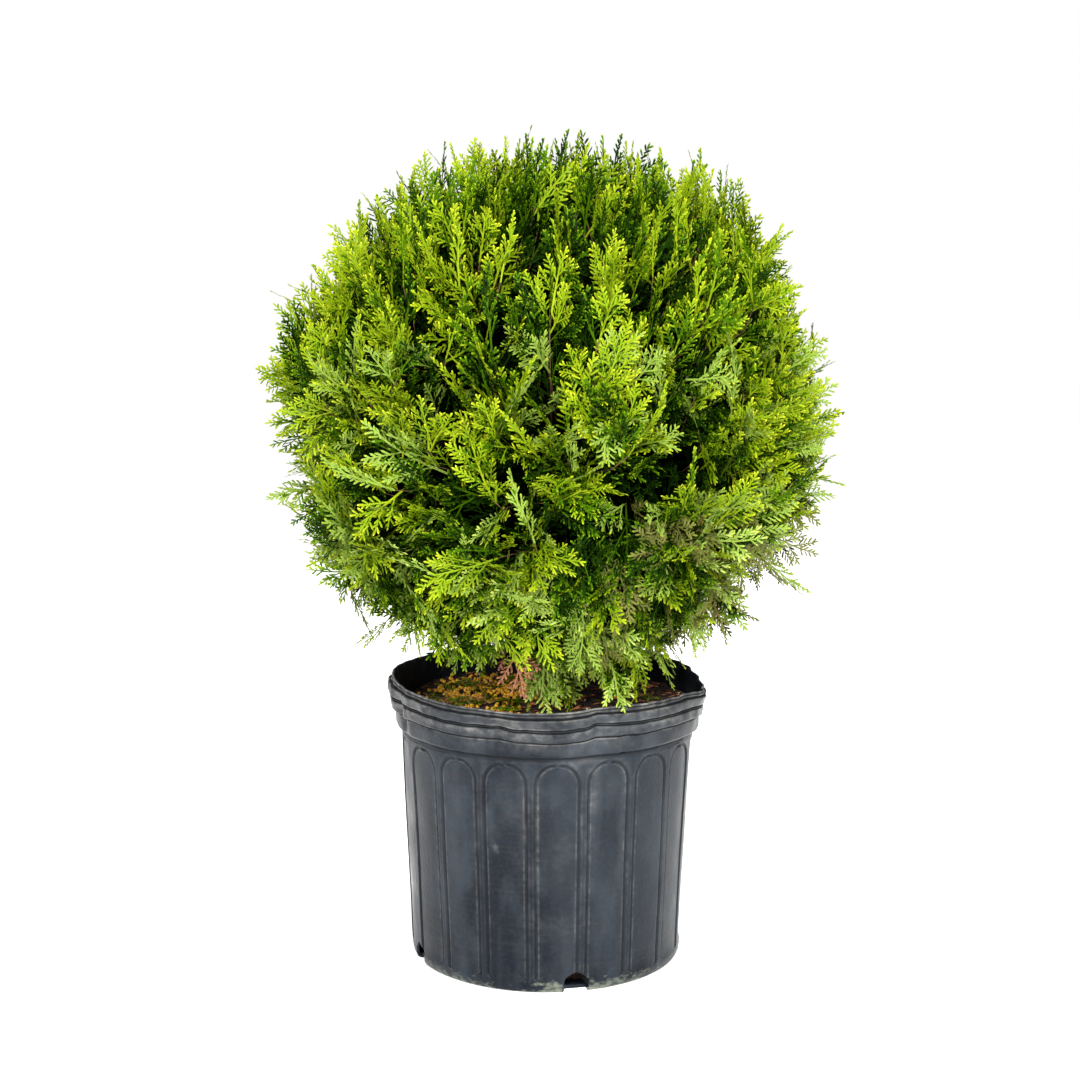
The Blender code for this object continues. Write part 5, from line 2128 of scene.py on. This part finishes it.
def hanging_plumes(rng, masses, beds, twigs):
    """Fronds that hang from the lowest limbs round the foot of the stem, and two lone ones."""
    for x, y, z, kind in HANGING_TIPS:
        target = Vector((x, y, z))
        outward = unit_vector(np.array([x, y, 0.0]))
        index = owner((target - HEART).normalized(), masses)
        level = HANGING_LEVEL + rng.uniform(*HANGING_LEVEL_RANGE)
        start = np.array(stem_axis(level)) + outward * 0.009
        heading = unit_vector(outward * rng.uniform(0.30, 0.60) - UP)
        normal = unit_vector(outward + 0.35 * UP)
        chosen = pick(rng.uniform(), HANGING_COLOURS)
        pull = unit_vector(outward + 0.5 * UP)
        grow_plume(rng, beds[index], twigs, start, pull, target, heading, normal, kind, chosen, 0.1)
    for root, tip, face, colours in LONE_FRONDS:
        run = np.array(tip) - np.array(root)
        index = owner((Vector(tip) - HEART).normalized(), masses)
        size = np.linalg.norm(run) / FROND_KINDS["short"].length
        root, face = np.array(root), np.array(face)
        beds[index].add(rng, "short", root, unit_vector(run), face, size, 0.2, colours)


def fallen_fronds(rng):
    """Fronds that have dropped on the mix."""
    bed = FrondBed()
    for number in range(FALLEN_COUNT):
        if number % 3:
            x, y = rng.uniform(*FALLEN_DRIFT_X), rng.uniform(*FALLEN_DRIFT_Y)
        else:
            turn = rng.uniform(0.0, math.tau)
            level = rng.uniform(*FALLEN_RING)
            x, y = level * math.cos(turn), level * math.sin(turn)
        turn = rng.uniform(0.0, math.tau)
        axis = unit_vector(np.array([math.cos(turn), math.sin(turn), rng.uniform(-0.05, 0.12)]))
        size = rng.uniform(*FALLEN_SIZES)
        middle = axis * FROND_KINDS["short"].length * size * 0.5
        root = np.array([x, y, float(mix_height(x, y)) + 0.0035]) - middle * (1.0, 1.0, 0.0)
        root[2] = max(root[2], float(mix_height(root[0], root[1])) + 0.0030)
        tip = root + 2 * middle
        if max(math.hypot(tip[0], tip[1]), math.hypot(root[0], root[1])) > FALLEN_LIMIT_R:
            continue
        normal = unit_vector(np.array([rng.normal(0.0, 0.15), rng.normal(0.0, 0.15), 1.0]))
        colours = pick(rng.uniform(), FALLEN_COLOURS)
        bed.add(rng, "short", root, axis, normal, size, rng.uniform(-0.25, 0.05), colours)
    return bed


class ARBORVITAE_OT_crown(bpy.types.Operator):
    """Grow the crown: twigs and sprays of every mass"""

    bl_idname = "arborvitae.crown"
    bl_label = "Crown"

    def execute(self, context):
        settings = context.scene.arborvitae_foliage
        rng = np.random.default_rng(settings.seed)
        shapes = frond_shapes(settings.seed)
        masses, beds, twigs = crown_plumes(settings)
        hanging_plumes(rng, masses, beds, twigs)
        palette = foliage_palette()
        for mass, bed in zip(masses, beds):
            fronds = sheaf_object("fronds_" + mass.name, laid_fronds(bed, shapes))
            finish_piece(fronds, "root", ["foliage_" + mass.name], palette)
        fallen = sheaf_object("fallen_sprays", laid_fronds(fallen_fronds(rng), shapes))
        finish_piece(fallen, "root", [], palette)
        sheaf = Sheaf()
        for path, start_r, end_r in twigs:
            tube(sheaf, path, start_r, end_r, 4)
        piece = sheaf_object("twigs", sheaf)
        turn_outwards(piece.data)
        young = earthy("twig_bark", (0.026, 0.014, 0.004), (0.120, 0.056, 0.014), 60.0, 0.8)
        finish_piece(piece, "root", [], [young])
        return {"FINISHED"}


# Stage


def area_light(name, place, size, power, colour):
    """A soft light that looks at the plant."""
    data = bpy.data.lights.new(name, "AREA")
    data.shape = "DISK"
    data.size = size
    data.energy = power
    data.color = colour
    lamp = link(bpy.data.objects.new(name, data))
    lamp.location = place
    lamp.rotation_euler = (LAMP_AIM - Vector(place)).to_track_quat("-Z", "Y").to_euler()


class ARBORVITAE_OT_stage(bpy.types.Operator):
    """Set the floor, the lights and the camera"""

    bl_idname = "arborvitae.stage"
    bl_label = "Stage"

    def execute(self, context):
        bm = bmesh.new()
        bmesh.ops.create_circle(bm, cap_ends=True, segments=96, radius=FLOOR_R)
        floor = link(bpy.data.objects.new("floor", mesh_from_bmesh("floor", bm)))
        finish = plain("pale_floor", (0.99, 0.99, 0.99), 0.9, 0.1)
        shader = finish.node_tree.nodes["Principled BSDF"]
        shader.inputs["Emission Color"].default_value = (*WHITE, 1.0)
        shader.inputs["Emission Strength"].default_value = 1.0 - STUDIO_LIGHT
        floor.data.materials.append(finish)
        floor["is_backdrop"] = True
        world = bpy.data.worlds.new("studio")
        world.use_nodes = True
        graph = Graph(world.node_tree)
        seen = graph.add("ShaderNodeLightPath").outputs["Is Camera Ray"]
        inputs = {0: seen, 1: 1.0 - STUDIO_LIGHT, 2: STUDIO_LIGHT}
        strength = graph.add("ShaderNodeMath", inputs, operation="MULTIPLY_ADD").outputs[0]
        background = world.node_tree.nodes["Background"].inputs
        graph.fill(background["Color"], WHITE)
        graph.fill(background["Strength"], strength)
        context.scene.world = world
        context.scene.view_settings.view_transform = "Standard"
        for name, lamp in LAMPS.items():
            area_light(name, *lamp)
        data = bpy.data.cameras.new("camera")
        data.lens = CAMERA_LENS
        data.sensor_width = CAMERA_SENSOR
        camera = link(bpy.data.objects.new("camera", data))
        camera.location = CAMERA_PLACE
        camera.rotation_euler = (math.pi / 2 - CAMERA_PITCH, 0.0, 0.0)
        context.scene.camera = camera
        return {"FINISHED"}


# Sidebar and registration


class ARBORVITAE_PT_panel(bpy.types.Panel):
    """Settings and steps of the potted arborvitae"""

    bl_idname = "ARBORVITAE_PT_panel"
    bl_label = "Potted arborvitae"
    bl_space_type = "VIEW_3D"
    bl_region_type = "UI"
    bl_category = "Arborvitae"

    def draw(self, context):
        scene = context.scene
        for name in GROUPS:
            box = self.layout.box()
            for key in getattr(scene, name).__annotations__:
                box.prop(getattr(scene, name), key)
        for operator in OPERATORS:
            self.layout.operator(operator.bl_idname)


GROUPS = {
    "arborvitae_can": CanSettings,
    "arborvitae_mix": MixSettings,
    "arborvitae_limbs": LimbSettings,
    "arborvitae_foliage": FoliageSettings,
}
OPERATORS = (
    ARBORVITAE_OT_can,
    ARBORVITAE_OT_mix,
    ARBORVITAE_OT_topping,
    ARBORVITAE_OT_limbs,
    ARBORVITAE_OT_crown,
    ARBORVITAE_OT_stage,
)
CLASSES = tuple(GROUPS.values()) + OPERATORS + (ARBORVITAE_PT_panel,)


def register():
    """Register the classes and the scene's settings."""
    for cls in CLASSES:
        bpy.utils.register_class(cls)
    for name, group in GROUPS.items():
        setattr(bpy.types.Scene, name, bpy.props.PointerProperty(type=group))


def unregister():
    """Take the settings and the classes away again."""
    for name in GROUPS:
        delattr(bpy.types.Scene, name)
    for cls in reversed(CLASSES):
        bpy.utils.unregister_class(cls)


def main():
    """Build every piece in order and work out the two boxes."""
    register()
    bpy.ops.arborvitae.can()
    bpy.ops.arborvitae.mix()
    bpy.ops.arborvitae.topping()
    bpy.ops.arborvitae.limbs()
    bpy.ops.arborvitae.crown()
    bpy.ops.arborvitae.stage()
    boxes = {"cad": CAD_BOUNDS, "visual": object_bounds()}
    plain_boxes = {key: [[float(v) for v in corner] for corner in box] for key, box in boxes.items()}


if __name__ == "__main__":
    main()
